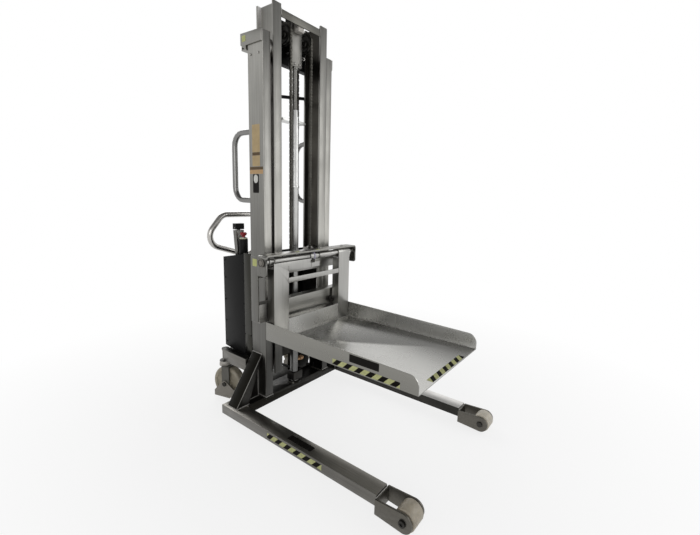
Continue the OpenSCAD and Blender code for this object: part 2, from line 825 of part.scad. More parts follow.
// Back frame of the tray: uprights, cross plates and the sleeve that hangs on the fork shaft.
module platform_frame() {
  t = 6;
  top = shaft_z - 8;
  hook = 24;
  stop_x = 170;
  stop_z = 542;
  color(steel) difference() {
    union() {
      frame_upright(top);
      mirror([1, 0, 0]) frame_upright(shaft_z);
      difference() {
        rod_x(frame_in, frame_out, hook, -shaft_reach, shaft_z);
        box([frame_in - 1, -shaft_reach - hook - 1, shaft_z - hook - 1],
            [frame_out + 1, -shaft_reach + hook + 1, shaft_z]);
      }
      box([-frame_in - 1, frame_front, 758], [-clamp_x - 3, frame_front + t, top]);
      box([-clamp_x - 4, frame_front, 758], [clamp_x, frame_front + t, clamp_foot - 1]);
      box([-frame_in - 1, frame_front, 700], [frame_in + 1, frame_front + t, 724]);
      rod_x(-258, -clamp_x - 3, sleeve_r, -shaft_reach, shaft_z);
      rod_x(clamp_x + 13, frame_in + 1, sleeve_r, -shaft_reach, shaft_z);
      box([-frame_out, frame_front, top - 14], [-clamp_x - 3, -shaft_reach, top - 8]);
    }
    rod_x(-frame_out - 1, frame_out + 1, shaft_r + run, -shaft_reach, shaft_z);
  }
  color(dark_steel) both() {
    rod_y(bar_front - gap, frame_back - 18, 8, -stop_x, stop_z);
    translate([-stop_x, frame_back - 5, stop_z]) rotate([90, 0, 0]) cylinder(h = 8, r = 12, $fn = 6);
    box([-frame_in - 1, frame_back - 6, stop_z - 16], [-stop_x + 14, frame_back, stop_z + 18]);
  }
}

// Load tray: floor, back wall and two side walls with rounded front corners, open in front.
module platform_tray() {
  back = -63;
  rear_top = 517;
  front_top = 501;
  corner = 42;
  floor_top = tray_z + wall_t;
  floor_back = frame_front - gap;
  panel_top = 523.5;
  color(steel) {
    box([-tray_half, -tray_reach, tray_z], [tray_half, floor_back, floor_top]);
    both() {
      plate_x(-tray_half, -tray_half + wall_t, [[back, tray_z], [back, rear_top],
        [-tray_reach + corner, front_top], [-tray_reach + corner, tray_z]]);
      plate_x(-tray_half, -tray_half + wall_t, [[-tray_reach, tray_z], [-tray_reach, front_top - corner],
        [-tray_reach + corner, front_top - corner], [-tray_reach + corner, tray_z]]);
      intersection() {
        rod_x(-tray_half, -tray_half + wall_t, corner, -tray_reach + corner, front_top - corner);
        box([-tray_half - 1, -tray_reach - 1, front_top - corner],
            [-tray_half + wall_t + 1, -tray_reach + corner, front_top + 1]);
      }
    }
    box([-frame_in + gap, floor_back - 0.2, tray_z], [frame_in - gap, floor_back + wall_t, panel_top]);
    box([-frame_in + gap, floor_back, panel_top - wall_t], [frame_in - gap, frame_back - 2, panel_top]);
  }
}

module leg_left() { color(steel) leg(); }
module leg_right() { color(steel) mirror([1, 0, 0]) leg(); }
module roller_fork_left() { color(dark_steel) roller_fork(); }
module roller_fork_right() { color(dark_steel) mirror([1, 0, 0]) roller_fork(); }
module outer_mast_left() { color(steel) outer_upright(); }
module outer_mast_right() { color(steel) mirror([1, 0, 0]) outer_upright(); }
module brace_left() { color(dark_steel) brace(); }
module brace_right() { color(dark_steel) mirror([1, 0, 0]) brace(); }
module rear_arm_left() { color(steel) rear_arm(); }
module rear_arm_right() { color(steel) mirror([1, 0, 0]) rear_arm(); }
module corner_strip_left() { color(steel) corner_strip(); }
module corner_strip_right() { color(steel) mirror([1, 0, 0]) corner_strip(); }
module grip_left() { color(polished) grip(); }
module grip_right() { color(polished) mirror([1, 0, 0]) grip(); }
module caster_fork_left() { at_caster() caster_fork(); }
module caster_fork_right() { at_right_caster() caster_fork(); }
module caster_guard_left() { at_caster() caster_guard(); }
module caster_guard_right() { at_right_caster() caster_guard(); }
module caster_wheel_left() { at_caster() caster_wheel(); }
module caster_wheel_right() { at_right_caster() caster_wheel(); }
module load_roller_left() { load_roller(); }
module load_roller_right() { mirror([1, 0, 0]) load_roller(); }
module inner_mast_left() { color(steel) inner_upright(); }
module inner_mast_right() { color(steel) mirror([1, 0, 0]) inner_upright(); }
module chain_pulley_left() { chain_pulley(); }
module chain_pulley_right() { mirror([1, 0, 0]) chain_pulley(); }
module carriage_side_left() { carriage_side(); }
module carriage_side_right() { mirror([1, 0, 0]) carriage_side(); }

translate([0, y_mid, 0]) {
  leg_left();
  leg_right();
  roller_fork_left();
  roller_fork_right();
  cross_beam();
  outer_mast_left();
  outer_mast_right();
  mast_top_beam();
  rear_tie_upper();
  rear_beam();
  brace_left();
  brace_right();
  lift_cylinder();
  rear_arm_left();
  rear_arm_right();
  corner_strip_left();
  corner_strip_right();
  power_cover();
  battery();
  pump_unit();
  hydraulic_hose();
  grip_left();
  grip_right();
  push_handle();
  control_post();
  stop_housing();
  chassis_fasteners();
  stop_button();
  control_rocker();
  caster_fork_left();
  caster_fork_right();
  caster_guard_left();
  caster_guard_right();
  caster_wheel_left();
  caster_wheel_right();
  load_roller_left();
  load_roller_right();
  inner_mast_left();
  inner_mast_right();
  inner_crossbar();
  inner_lower_tie();
  crosshead();
  piston_rod();
  chain_pulley_left();
  chain_pulley_right();
  chain_front();
  chain_back();
  chain_wraps();
  outer_mast_rollers();
  inner_mast_rollers();
  carriage_rollers_upper();
  carriage_rollers_lower();
  carriage_frame();
  carriage_side_left();
  carriage_side_right();
  carriage_top_plate();
  fork_shaft();
  shaft_clamp();
  platform_frame();
  platform_tray();
}
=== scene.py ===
import bpy
import bmesh
import json
import math
from mathutils import Matrix, Vector


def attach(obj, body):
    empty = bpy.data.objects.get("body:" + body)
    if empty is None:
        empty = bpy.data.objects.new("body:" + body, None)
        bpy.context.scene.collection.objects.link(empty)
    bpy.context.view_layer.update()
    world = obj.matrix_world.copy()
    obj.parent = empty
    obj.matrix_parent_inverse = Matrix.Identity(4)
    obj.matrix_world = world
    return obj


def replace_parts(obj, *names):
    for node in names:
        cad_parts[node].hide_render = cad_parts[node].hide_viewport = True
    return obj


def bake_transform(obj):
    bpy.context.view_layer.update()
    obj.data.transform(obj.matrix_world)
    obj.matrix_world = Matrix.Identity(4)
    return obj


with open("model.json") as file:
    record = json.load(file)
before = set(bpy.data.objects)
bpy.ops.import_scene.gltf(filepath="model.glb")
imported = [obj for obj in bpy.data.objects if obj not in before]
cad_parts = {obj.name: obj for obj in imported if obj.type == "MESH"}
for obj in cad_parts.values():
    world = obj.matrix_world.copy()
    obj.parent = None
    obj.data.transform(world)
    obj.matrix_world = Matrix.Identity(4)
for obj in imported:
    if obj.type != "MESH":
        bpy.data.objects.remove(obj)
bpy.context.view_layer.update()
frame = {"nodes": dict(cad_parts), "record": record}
nodeBody = {n: b for b, names in frame["record"]["behaviour"]["bodies"].items() for n in names}
mastFrontY = 0.242  # the outer mast's front, in the row frame


def place(x, y, z):
    # millimetres from the outer mast's front to metres in the row frame
    return Vector((x / 1000, y / 1000 + mastFrontY, z / 1000))


def linked(name, data):
    made = bpy.data.objects.new(name, data)
    bpy.context.scene.collection.objects.link(made)
    return made


cameraLook = {
    "spot": (-1.39804, -1.44064 + mastFrontY, 1.10462),
    "turn": (1.409603, -0.029618, -0.924378),
    "lens": 19.4917,
    "sensor": 36,
    "shift": (-0.01397, -0.00976),
    "clip": (0.05, 60),
}


def makeCamera(look):
    data = bpy.data.cameras.new("studioCamera")
    data.sensor_width = look["sensor"]
    data.lens = look["lens"]
    data.shift_x, data.shift_y = look["shift"]
    data.clip_start, data.clip_end = look["clip"]
    camera = linked("studioCamera", data)
    camera.location = look["spot"]
    camera.rotation_euler = look["turn"]
    bpy.context.scene.camera = camera


makeCamera(cameraLook)
print("camera placed")


# Helpers for node trees, of materials and of Geometry Nodes.
def plug(tree, node, inputs):
    # fills inputs with constants, sockets or nodes; a node stands for its first output
    for key, value in inputs.items():
        if isinstance(value, bpy.types.Node):
            value = value.outputs[0]
        if isinstance(value, bpy.types.NodeSocket):
            tree.links.new(value, node.inputs[key])
        else:
            node.inputs[key].default_value = value
    return node


def addNode(tree, kind, inputs=None, **settings):
    node = tree.nodes.new(kind)
    for key, value in settings.items():
        setattr(node, key, value)
    return plug(tree, node, inputs or {})


def mathNode(tree, operation, *inputs, kind="ShaderNodeMath"):
    return addNode(tree, kind, dict(enumerate(inputs)), operation=operation)


def vectorNode(tree, operation, *inputs):
    return mathNode(tree, operation, *inputs, kind="ShaderNodeVectorMath")


def coordinates(tree, output="Object"):
    return addNode(tree, "ShaderNodeTexCoord").outputs[output]


def noise(tree, scale, detail, rough):
    # scale: along X, Y and Z, or one number for all three
    scale = scale if isinstance(scale, tuple) else (scale,) * 3
    spot = addNode(tree, "ShaderNodeMapping", {"Vector": coordinates(tree), "Scale": scale})
    inputs = {"Vector": spot, "Scale": 1.0, "Detail": detail, "Roughness": rough}
    return addNode(tree, "ShaderNodeTexNoise", inputs).outputs["Fac"]


def ramp(tree, factor, stops):
    # stops: (position, colour); the first and the last take the ramp's own two
    node = addNode(tree, "ShaderNodeValToRGB", {"Fac": factor})
    elements = node.color_ramp.elements
    for element, (spot, colour) in ((elements[0], stops[0]), (elements[1], stops[-1])):
        element.position = spot
        element.color = (*colour, 1)
    for spot, colour in stops[1:-1]:
        elements.new(spot).color = (*colour, 1)
    return node


def mapRange(tree, factor, low, high, start=0.0, end=1.0):
    inputs = {"Value": factor, "From Min": start, "From Max": end, "To Min": low, "To Max": high}
    return addNode(tree, "ShaderNodeMapRange", inputs)


def mixed(tree, a, b, factor=1.0, blend="MULTIPLY"):
    # a colour mix has its factor in socket 0, its colours in 6 and 7 and its result in 2
    inputs = {0: factor, 6: a, 7: b}
    return addNode(tree, "ShaderNodeMix", inputs, data_type="RGBA", blend_type=blend).outputs[2]


def bump(tree, height, strength, distance):
    return addNode(tree, "ShaderNodeBump", {"Height": height, "Strength": strength, "Distance": distance})


def paintedLightByHeight(tree, colour, stops, look={"height": 2, "most": 2.5}):
    # painted light and shade by height: stops are (height in metres, gain), up to the look's height and its
    # most; without stops nothing changes
    if not stops:
        return colour
    height = addNode(tree, "ShaderNodeSeparateXYZ", {"Vector": coordinates(tree)}).outputs["Z"]
    greys = [(z / look["height"], (gain / look["most"],) * 3) for z, gain in stops]
    lift = ramp(tree, mapRange(tree, height, 0, 1, 0, look["height"]), greys)
    inputs = {0: mixed(tree, colour, lift), "Scale": look["most"]}
    return addNode(tree, "ShaderNodeVectorMath", inputs, operation="SCALE")


# Materials: each one is a small tree on Object coordinates.
def newMaterial(name):
    made = bpy.data.materials.new(name)
    made.use_nodes = True
    return made, made.node_tree


def finished(made, inputs):
    plug(made.node_tree, made.node_tree.nodes["Principled BSDF"], inputs)
    return made


def scaled(tone, gain):
    return tuple(c * gain for c in tone)


def brushedSteel(name, grain, tone=(0.30, 0.295, 0.275), gloss=0.34, spread=0.16, smudge=0.22,
                 blot=0.07, dent=0.12, gain=None):
    # grain: the brushing's scale along X, Y and Z, small along the lines
    made, tree = newMaterial(name)
    fine, broad = noise(tree, grain, 5, 0.7), noise(tree, (3.1, 2.3, 1.7), 3, 0.5)
    lines = ramp(tree, fine, [(0.3, scaled(tone, 1 - spread)), (0.7, scaled(tone, 1 + spread))])
    cloud = ramp(tree, broad, [(0.3, (1 - smudge,) * 3), (0.7, (1, 1, 1))])
    # gain: stops of painted light and shade by height, passed on to the colour
    return finished(made, {
        "Base Color": paintedLightByHeight(tree, mixed(tree, lines, cloud), gain), "Metallic": 1.0,
        "Roughness": mapRange(tree, noise(tree, (9, 9, 7), 4, 0.6), gloss - blot, gloss + blot, 0.3, 0.7),
        "Normal": bump(tree, fine, dent, 0.0004)})


def plainMetal(name, tone, gloss, wear=0.25, size=60, metallic=1.0, dent=0.15, gain=None):
    made, tree = newMaterial(name)
    fine, broad = noise(tree, size, 4, 0.6), noise(tree, (11, 9, 7), 3, 0.5)
    colour = ramp(tree, broad, [(0.3, scaled(tone, 1 - wear)), (0.7, tone)])
    # gain: stops of painted light and shade by height, passed on to the colour
    return finished(made, {
        "Base Color": paintedLightByHeight(tree, colour, gain), "Metallic": metallic,
        "Roughness": mapRange(tree, fine, gloss - 0.05, gloss + 0.12, 0.3, 0.7),
        "Normal": bump(tree, fine, dent, 0.0006)})


def blackCoat(name, tone, gloss, size=420, dent=0.2, shine=0.2):
    # powder coat or moulded plastic: a fine pebble, and dust in the broad parts
    made, tree = newMaterial(name)
    pebble, dust = noise(tree, size, 2, 0.5), noise(tree, (5, 4, 3), 5, 0.6)
    return finished(made, {
        "Base Color": ramp(tree, dust, [(0.35, tone), (0.75, scaled(tone, 1.6))]),
        "Roughness": mapRange(tree, dust, gloss - 0.04, gloss + 0.1, 0.3, 0.7),
        "Specular IOR Level": shine, "Normal": bump(tree, pebble, dent, 0.0004)})


def nylonMaterial(name, tone):
    made, tree = newMaterial(name)
    scuff = noise(tree, 24, 6, 0.65)
    return finished(made, {
        "Base Color": ramp(tree, scuff, [(0.32, scaled(tone, 0.72)), (0.55, tone)]),
        "Roughness": mapRange(tree, scuff, 0.5, 0.36),
        "Subsurface Weight": 0.08, "Subsurface Radius": (0.004, 0.003, 0.002),
        "Normal": bump(tree, noise(tree, 300, 2, 0.5), 0.12, 0.0004)})


def stripeMaterial(name, along, slant, first, second, look):
    # bands across a strip: along is the strip's direction, slant the lean of each band
    made, tree = newMaterial(name)
    across = tuple((Vector(along) + Vector(slant)) / look["pitch"])
    dot = vectorNode(tree, "DOT_PRODUCT", coordinates(tree), across).outputs["Value"]
    step = mathNode(tree, "GREATER_THAN", mathNode(tree, "FRACT", dot), 0.5)
    bands = mixed(tree, (*look[first], 1), (*look[second], 1), step, "MIX")
    grime = ramp(tree, noise(tree, 60, 4, 0.6), [(0.3, (look["grime"],) * 3), (0.6, (1, 1, 1))])
    return finished(made, {
        "Base Color": mixed(tree, bands, grime), "Specular IOR Level": 0.05, "Roughness": 0.6})


def filmMaterial(name, tone, gloss=0.35, wear=0.15, shine=0.4):
    made, tree = newMaterial(name)
    grime = noise(tree, 35, 5, 0.6)
    return finished(made, {
        "Base Color": ramp(tree, grime, [(0.3, scaled(tone, 1 - wear)), (0.65, tone)]),
        "Roughness": mapRange(tree, grime, gloss + 0.1, gloss), "Specular IOR Level": shine})


upGrain, alongGrain, acrossGrain, trayGrain = (260, 260, 4), (260, 4, 260), (4, 260, 260), (220, 3, 220)
# Painted light and shade by height: steel darker low down and lighter high up, the front faces lightest in
# the middle, the cylinder darker at its foot
upPaintedLight = [(0.3, 0.55), (0.9, 0.62), (1.3, 0.95), (1.75, 1.3)]
frontPaintedLight = [(0.3, 0.22), (0.5, 0.6), (0.7, 1.6), (0.92, 1.9), (1.28, 0.9), (1.8, 0.75)]
tubePaintedLight = [(0.4, 0.4), (0.6, 0.9), (1.1, 1.6)]
steelUp = brushedSteel("steelBrushedUp", upGrain, gain=upPaintedLight)
steelMast = brushedSteel("steelMastFront", upGrain, gain=frontPaintedLight)
steelAlong = brushedSteel("steelBrushedAlong", alongGrain)
steelAcross = brushedSteel("steelBrushedAcross", acrossGrain)
# lit and shaded copies for the legs: painted shade on the left leg's side, painted light on its top
steelLeg = brushedSteel("steelLeg", alongGrain, (0.20, 0.192, 0.177), smudge=0.35)
steelLegTop = brushedSteel("steelLegTop", alongGrain, (0.36, 0.345, 0.315), smudge=0.35)
# painted light: a pale copy of the steel for the right leg's lit top and the left inner upright's rear flange
# pocket
steelPaleLit = brushedSteel("steelPaleLitFaces", alongGrain, (0.84, 0.825, 0.80), 0.36)
steelBeam = brushedSteel("steelBeam", acrossGrain, (0.13, 0.125, 0.11), 0.42, smudge=0.5)
steelBrace = brushedSteel("steelBrace", (200, 6, 200), (0.15, 0.145, 0.13), 0.4, smudge=0.4)
# lit and shaded copies of the tray's steel: painted light on the floor, painted shade on its inner walls and
# more on its outer walls
trayLook = {"gloss": 0.27, "spread": 0.03, "smudge": 0.08, "blot": 0.02, "dent": 0.008}
steelTray = brushedSteel("steelTray", trayGrain, (0.60, 0.595, 0.57), **trayLook)
steelWall = brushedSteel("steelTrayWall", trayGrain, (0.37, 0.367, 0.35), **trayLook)
steelOuter = brushedSteel("steelTrayOuter", trayGrain, (0.24, 0.235, 0.215), **trayLook)
steelCross = brushedSteel("steelCrossbar", acrossGrain, (0.115, 0.112, 0.10), 0.38)
steelPlate = brushedSteel("steelCrossheadPlate", upGrain, (0.22, 0.215, 0.20), 0.38)
steelFrame = brushedSteel("steelTrayFrame", (200, 200, 5), (0.46, 0.455, 0.435), spread=0.1)
steelFork = brushedSteel("steelForged", (90, 90, 90), (0.145, 0.137, 0.12), 0.42, 0.1)
# painted reflection: the corner strips' near-black tone stands for the dark they reflect
steelStrip = brushedSteel("steelCornerStrip", upGrain, (0.045, 0.044, 0.038), 0.3)
steelGuard = plainMetal("steelGuard", (0.21, 0.195, 0.17), 0.5, 0.15, metallic=0.3)
# painted shade: the caster legs are made darker than the guard's finish as they sit in shade
steelCaster = plainMetal("steelCasterLeg", (0.10, 0.096, 0.084), 0.5, 0.2, metallic=0.3)
steelCup = plainMetal("steelCasterCup", (0.42, 0.40, 0.365), 0.5, 0.15, metallic=0.15)
steelShade = plainMetal("steelShade", (0.016, 0.015, 0.012), 0.45, 0.3)
steelTube = plainMetal("steelPolishedTube", (0.5, 0.485, 0.46), 0.2, 0.08, 30, dent=0.03)
steelGrip = plainMetal("steelGripTube", (0.23, 0.227, 0.22), 0.2, 0.1, 30, dent=0.03)
steelRod = plainMetal("steelPistonRod", (0.19, 0.187, 0.175), 0.22, 0.15, 30, dent=0.03)
steelCylinder = plainMetal("steelCylinderTube", (0.42, 0.42, 0.41), 0.3, 0.2, 40, dent=0.05, gain=tubePaintedLight)
# a dark steel: the own colour of dark parts, and painted shade on faces and pieces that sit in shade
steelDark = plainMetal("steelDarkAndShade", (0.05, 0.048, 0.044), 0.42, 0.4)
# grease on the tracks, darkened further as painted shade inside the mast
steelGreaseAndShade = plainMetal("steelGreaseAndShadeTrack", (0.075, 0.07, 0.06), 0.38, 0.5, 120)
steelBolt = plainMetal("steelBolt", (0.42, 0.41, 0.39), 0.32)
chainSteel = plainMetal("chainSteel", (0.13, 0.125, 0.11), 0.36, 0.5, 200)
weldSteel = plainMetal("weldSteel", (0.42, 0.41, 0.39), 0.34, 0.3, 500, dent=0.6)
brassFitting = plainMetal("brassFitting", (0.40, 0.24, 0.13), 0.42, 0.3, metallic=0.6)
blackPanel = blackCoat("blackPanel", (0.005, 0.005, 0.005), 0.46, shine=0.12)
blackFrame = blackCoat("blackFramePaint", (0.005, 0.005, 0.005), 0.45, 200, 0.1, 0.08)
blackPlastic = blackCoat("blackPlastic", (0.005, 0.005, 0.005), 0.42, 700, 0.12, 0.12)
rubberHose = blackCoat("rubberHose", (0.014, 0.014, 0.014), 0.6, 500, 0.3)
rubberSeal = blackCoat("rubberSeal", (0.018, 0.017, 0.016), 0.55, 600)
redPlastic = filmMaterial("redPlastic", (0.27, 0.018, 0.022), 0.3, 0.1)
paleFilm = filmMaterial("paleOvalFilm", (0.62, 0.62, 0.58))
limeFilm = filmMaterial("limeFilm", (0.42, 0.44, 0.16))
tanFilm = filmMaterial("tanFilm", (0.42, 0.31, 0.155))
orangeFilm = filmMaterial("orangeFilm", (0.46, 0.29, 0.135))
brownFilm = filmMaterial("brownFilm", (0.10, 0.065, 0.03), shine=0.2)
blackFilm = filmMaterial("blackFilm", (0.006, 0.005, 0.004), 0.4, shine=0.08)
paleCollar = filmMaterial("paleCollar", (0.50, 0.50, 0.36), 0.4)
# painted highlight: the lilac tint stands for a bluish highlight on the clamp ring
clampRingPaintedSheen = filmMaterial("clampRingPaintedSheen", (0.42, 0.40, 0.50), 0.4)
stripeLook = {"pitch": 0.056, "pale": (0.46, 0.47, 0.23), "dark": (0.006, 0.005, 0.004), "grime": 0.82}
stripeSide = stripeMaterial("stripesSide", (0, 1, 0), (0, 0, 1), "dark", "pale", stripeLook)
stripeFloor = stripeMaterial("stripesFloor", (1, 0, 0), (0, -1, 0), "pale", "dark", stripeLook)
nylonWheel = nylonMaterial("nylonWheel", (0.28, 0.25, 0.19))
nylonRoller = nylonMaterial("nylonRoller", (0.36, 0.32, 0.25))
# painted light: a paler copy of the roller nylon for the right load roller
nylonRollerLit = nylonMaterial("nylonRollerPaintedLight", (0.52, 0.48, 0.40))
print("materials made")


# Every CAD node in the table below gets a copy with joined faces and eased edges.
def smoothByAngle(mesh, limit=32):
    bm = bmesh.new()
    bm.from_mesh(mesh)
    cutoff = math.radians(limit)
    for face in bm.faces:
        face.smooth = True
    for edge in bm.edges:
        edge.smooth = len(edge.link_faces) == 2 and edge.calc_face_angle(4.0) < cutoff
    bm.to_mesh(mesh)
    bm.free()


def bakeModifiers(piece):
    # the piece's own modifiers become its mesh
    depsgraph = bpy.context.evaluated_depsgraph_get()
    baked = bpy.data.meshes.new_from_object(piece.evaluated_get(depsgraph))
    piece.modifiers.clear()
    old = piece.data
    piece.data = baked
    bpy.data.meshes.remove(old)


def easeEdges(piece, width, angle, **settings):
    bevel = piece.modifiers.new("ease", "BEVEL")
    bevel.width = width
    bevel.segments = 2
    bevel.limit_method = "ANGLE"
    bevel.angle_limit = math.radians(angle)
    for key, value in settings.items():
        setattr(bevel, key, value)
    bakeModifiers(piece)


def easedCopy(node, material, ease):
    mesh = frame["nodes"][node].data.copy()
    bm = bmesh.new()
    bm.from_mesh(mesh)
    bmesh.ops.remove_doubles(bm, verts=bm.verts, dist=0.00001)
    bmesh.ops.dissolve_limit(bm, angle_limit=math.radians(1.0), verts=bm.verts, edges=bm.edges)
    bm.to_mesh(mesh)
    bm.free()
    piece = linked(node + "Skin", mesh)
    mesh.materials.clear()
    mesh.materials.append(material)
    easeEdges(piece, ease, 34, loop_slide=False, miter_outer="MITER_ARC")
    smoothByAngle(piece.data)
    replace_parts(piece, node)
    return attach(piece, nodeBody[node])


# Each node's finish and the width of its eased edges; a star stands for left and right.
# Painted shade among these: the left leg's darker steel against the right leg's, and the dark steel on
# rear_beam and inner_lower_tie
nodeLooks = {
    "leg_left": (steelLeg, 0.003), "leg_right": (steelAlong, 0.003),
    "roller_fork_*": (steelFork, 0.0012), "cross_beam": (steelBeam, 0.0015),
    "outer_mast_*": (steelUp, 0.0015), "mast_top_beam": (steelAcross, 0.001),
    "rear_beam": (steelDark, 0.001), "brace_*": (steelBrace, 0.002),
    "lift_cylinder": (steelCylinder, 0.001), "rear_arm_*": (steelLeg, 0.0015),
    "corner_strip_*": (steelStrip, 0.001), "power_cover": (blackPanel, 0.001),
    "control_post": (steelUp, 0.001), "stop_housing": (blackPlastic, 0.002),
    "chassis_fasteners": (steelBolt, 0.0006),
    "stop_button": (redPlastic, 0.0015), "control_rocker": (blackPlastic, 0.002),
    "caster_guard_*": (steelGuard, 0.0006), "caster_wheel_*": (nylonWheel, 0.001),
    "load_roller_left": (nylonRoller, 0.001), "load_roller_right": (nylonRollerLit, 0.001),
    "inner_mast_*": (steelUp, 0.0015), "inner_lower_tie": (steelDark, 0.001),
    "crosshead": (steelDark, 0.001), "piston_rod": (steelRod, 0.0008),
    "chain_pulley_*": (steelDark, 0.0006),
    "outer_mast_rollers": (steelBolt, 0.001), "inner_mast_rollers": (steelBolt, 0.001),
    "carriage_rollers_upper": (steelBolt, 0.001), "carriage_rollers_lower": (steelBolt, 0.001),
    "carriage_frame": (steelAcross, 0.0012), "carriage_side_*": (steelUp, 0.001),
    "fork_shaft": (steelFrame, 0.0008),
    "platform_frame": (steelFrame, 0.001), "platform_tray": (steelTray, 0.0008),
}
skins = {}
for pattern, look in nodeLooks.items():
    for side in ("left", "right") if "*" in pattern else ("",):
        node = pattern.replace("*", side)
        skins[node] = easedCopy(node, *look)
for node, material in {"battery": blackPlastic, "pump_unit": steelDark}.items():
    frame["nodes"][node].data.materials.clear()
    frame["nodes"][node].data.materials.append(material)
print("CAD nodes dressed")


def faceMaterial(node, material, test):
    # gives the faces that pass the test, by centre and normal, a second finish
    mesh = skins[node].data
    mesh.materials.append(material)
    slot = len(mesh.materials) - 1
    for face in mesh.polygons:
        if test(face.center, face.normal):
            face.material_index = slot


# The mast's greased tracks, dark with grease and with painted shade inside the channels: distances from the
# middle and along the machine, in metres.
trackLook = {
    "webIn": 0.142, "webOut": 0.158, "flangeIn": 0.152, "flangeOut": 0.179, "top": 1.955,
    "innerY": 0.2935, "innerHalf": 0.0505, "innerFront": 0.24,
    "outerIn": 0.187, "outerOut": 0.226, "outerY": 0.2965, "outerHalf": 0.047, "outerFront": 0.248,
}


def innerTrack(c, n, side, look=trackLook):
    web = n.x * side > 0.7 and look["webIn"] < abs(c.x) < look["webOut"]
    across = abs(n.y) > 0.7 and abs(c.y - look["innerY"]) < look["innerHalf"]
    flange = across and abs(c.x) < look["flangeIn"]
    return abs(c.x) < look["flangeOut"] and c.z < look["top"] and (web or flange)


def outerTrack(c, n, look=trackLook):
    return look["outerIn"] < abs(c.x) < look["outerOut"] and abs(c.y - look["outerY"]) < look["outerHalf"]


for name, side in (("left", 1), ("right", -1)):
    inner, outer, brace, arm = "inner_mast_" + name, "outer_mast_" + name, "brace_" + name, "rear_arm_" + name
    faceMaterial(inner, steelGreaseAndShade, lambda c, n: innerTrack(c, n, side))
    # the front faces take the steel with painted light by height
    faceMaterial(inner, steelMast, lambda c, n: n.y < -0.7 and c.y < trackLook["innerFront"])
    faceMaterial(outer, steelGreaseAndShade, outerTrack)
    faceMaterial(outer, steelMast, lambda c, n: n.y < -0.7 and c.y < trackLook["outerFront"])
    # painted shade on the braces' tops and fronts, painted light on their sloped sides
    faceMaterial(brace, steelShade, lambda c, n: n.x * side < -0.6 and n.z > 0.4)
    faceMaterial(brace, steelDark, lambda c, n: n.y < -0.7)
    faceMaterial(brace, steelAcross, lambda c, n: n.x * side < -0.2 and n.z > 0.15 and abs(n.y) > 0.15)
    # painted shade on the rear arms' tops, under the cover
    faceMaterial(arm, steelDark, lambda c, n: n.z > 0.7)
    faceMaterial(arm, steelCup, lambda c, n: n.z < 0.7 and c.z < 0.2115)
faceTones = [
    ("crosshead", steelPlate, lambda c, n: c.y < place(0, 35.5, 0).y and abs(c.x) < 0.0325),
    # painted light on the crosshead tongue's shaded faces
    ("crosshead", steelCup, lambda c, n: c.y < place(0, 25, 0).y and c.z > 1.885),
    ("lift_cylinder", steelDark, lambda c, n: c.z < 0.15),
    # painted shade on the cross beam's top and front
    ("cross_beam", steelDark, lambda c, n: n.z > 0.7),
    ("cross_beam", steelShade, lambda c, n: n.y < -0.7),
    # painted shade on the frame's left outer flange and round the stop bolts
    ("platform_frame", steelBeam, lambda c, n: n.x < -0.7 and c.x < -0.26),
    ("platform_frame", steelDark, lambda c, n: 0.152 < abs(c.x) < 0.1835 and 0.52 < c.z < 0.565),
    # painted light on the left inner upright's rear flange pocket, which sits in shade
    ("inner_mast_left", steelPaleLit, lambda c, n: n.y < -0.7 and c.x < -0.157 and c.y > 0.25),
    # painted shade on the tray's walls, inner and outer
    ("platform_tray", steelOuter, lambda c, n: abs(c.x) > 0.279 and abs(n.x) > 0.7),
    ("platform_tray", steelWall, lambda c, n: abs(c.x) < 0.279 and n.z < 0.3),
    # painted light on the legs' tops, painted shade on the right leg's inner side
    ("leg_left", steelLegTop, lambda c, n: n.z > 0.7),
    ("leg_right", steelDark, lambda c, n: n.x < -0.7),
    ("leg_right", steelPaleLit, lambda c, n: n.z > 0.7),
    # painted shade at the load rollers' axle ends
    ("chassis_fasteners", steelDark, lambda c, n: c.y < -0.5),
]
for node, material, test in faceTones:
    faceMaterial(node, material, test)
# the side plates stop where the top sheet's folded ends begin
foldLook = {"top": 0.8272, "behind": -61}
for side in ("left", "right"):
    for vertex in skins["carriage_side_" + side].data.vertices:
        if vertex.co.z > foldLook["top"] and vertex.co.y < place(0, foldLook["behind"], 0).y:
            vertex.co.z = foldLook["top"]
print("faces toned")


# Small parts are turned, swept or cut from sheet; sizes are in millimetres from the mast's front.
def closedMesh(name, bm):
    bmesh.ops.remove_doubles(bm, verts=bm.verts, dist=0.000001)
    bmesh.ops.recalc_face_normals(bm, faces=bm.faces)
    mesh = bpy.data.meshes.new(name)
    bm.to_mesh(mesh)
    bm.free()
    return mesh


def finishPiece(name, bm, material, body, limit=32):
    mesh = closedMesh(name, bm)
    mesh.materials.append(material)
    smoothByAngle(mesh, limit)
    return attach(linked(name, mesh), body)


def arc(radius, start=0, end=360, steps=24, centre=(0, 0)):
    # points from one angle to another, both ends included
    turns = [math.radians(start + (end - start) * i / steps) for i in range(steps + 1)]
    return [(centre[0] + radius * math.cos(t), centre[1] + radius * math.sin(t)) for t in turns]


def flipped(profile, side):
    # a turned profile for the side -1 or 1 of its centre
    return [(radius, side * along) for radius, along in profile]


axisTurns = {
    "x": Matrix.Rotation(math.radians(90), 3, "Y"),
    "y": Matrix.Rotation(math.radians(-90), 3, "X"),
    "z": Matrix.Identity(3),
}


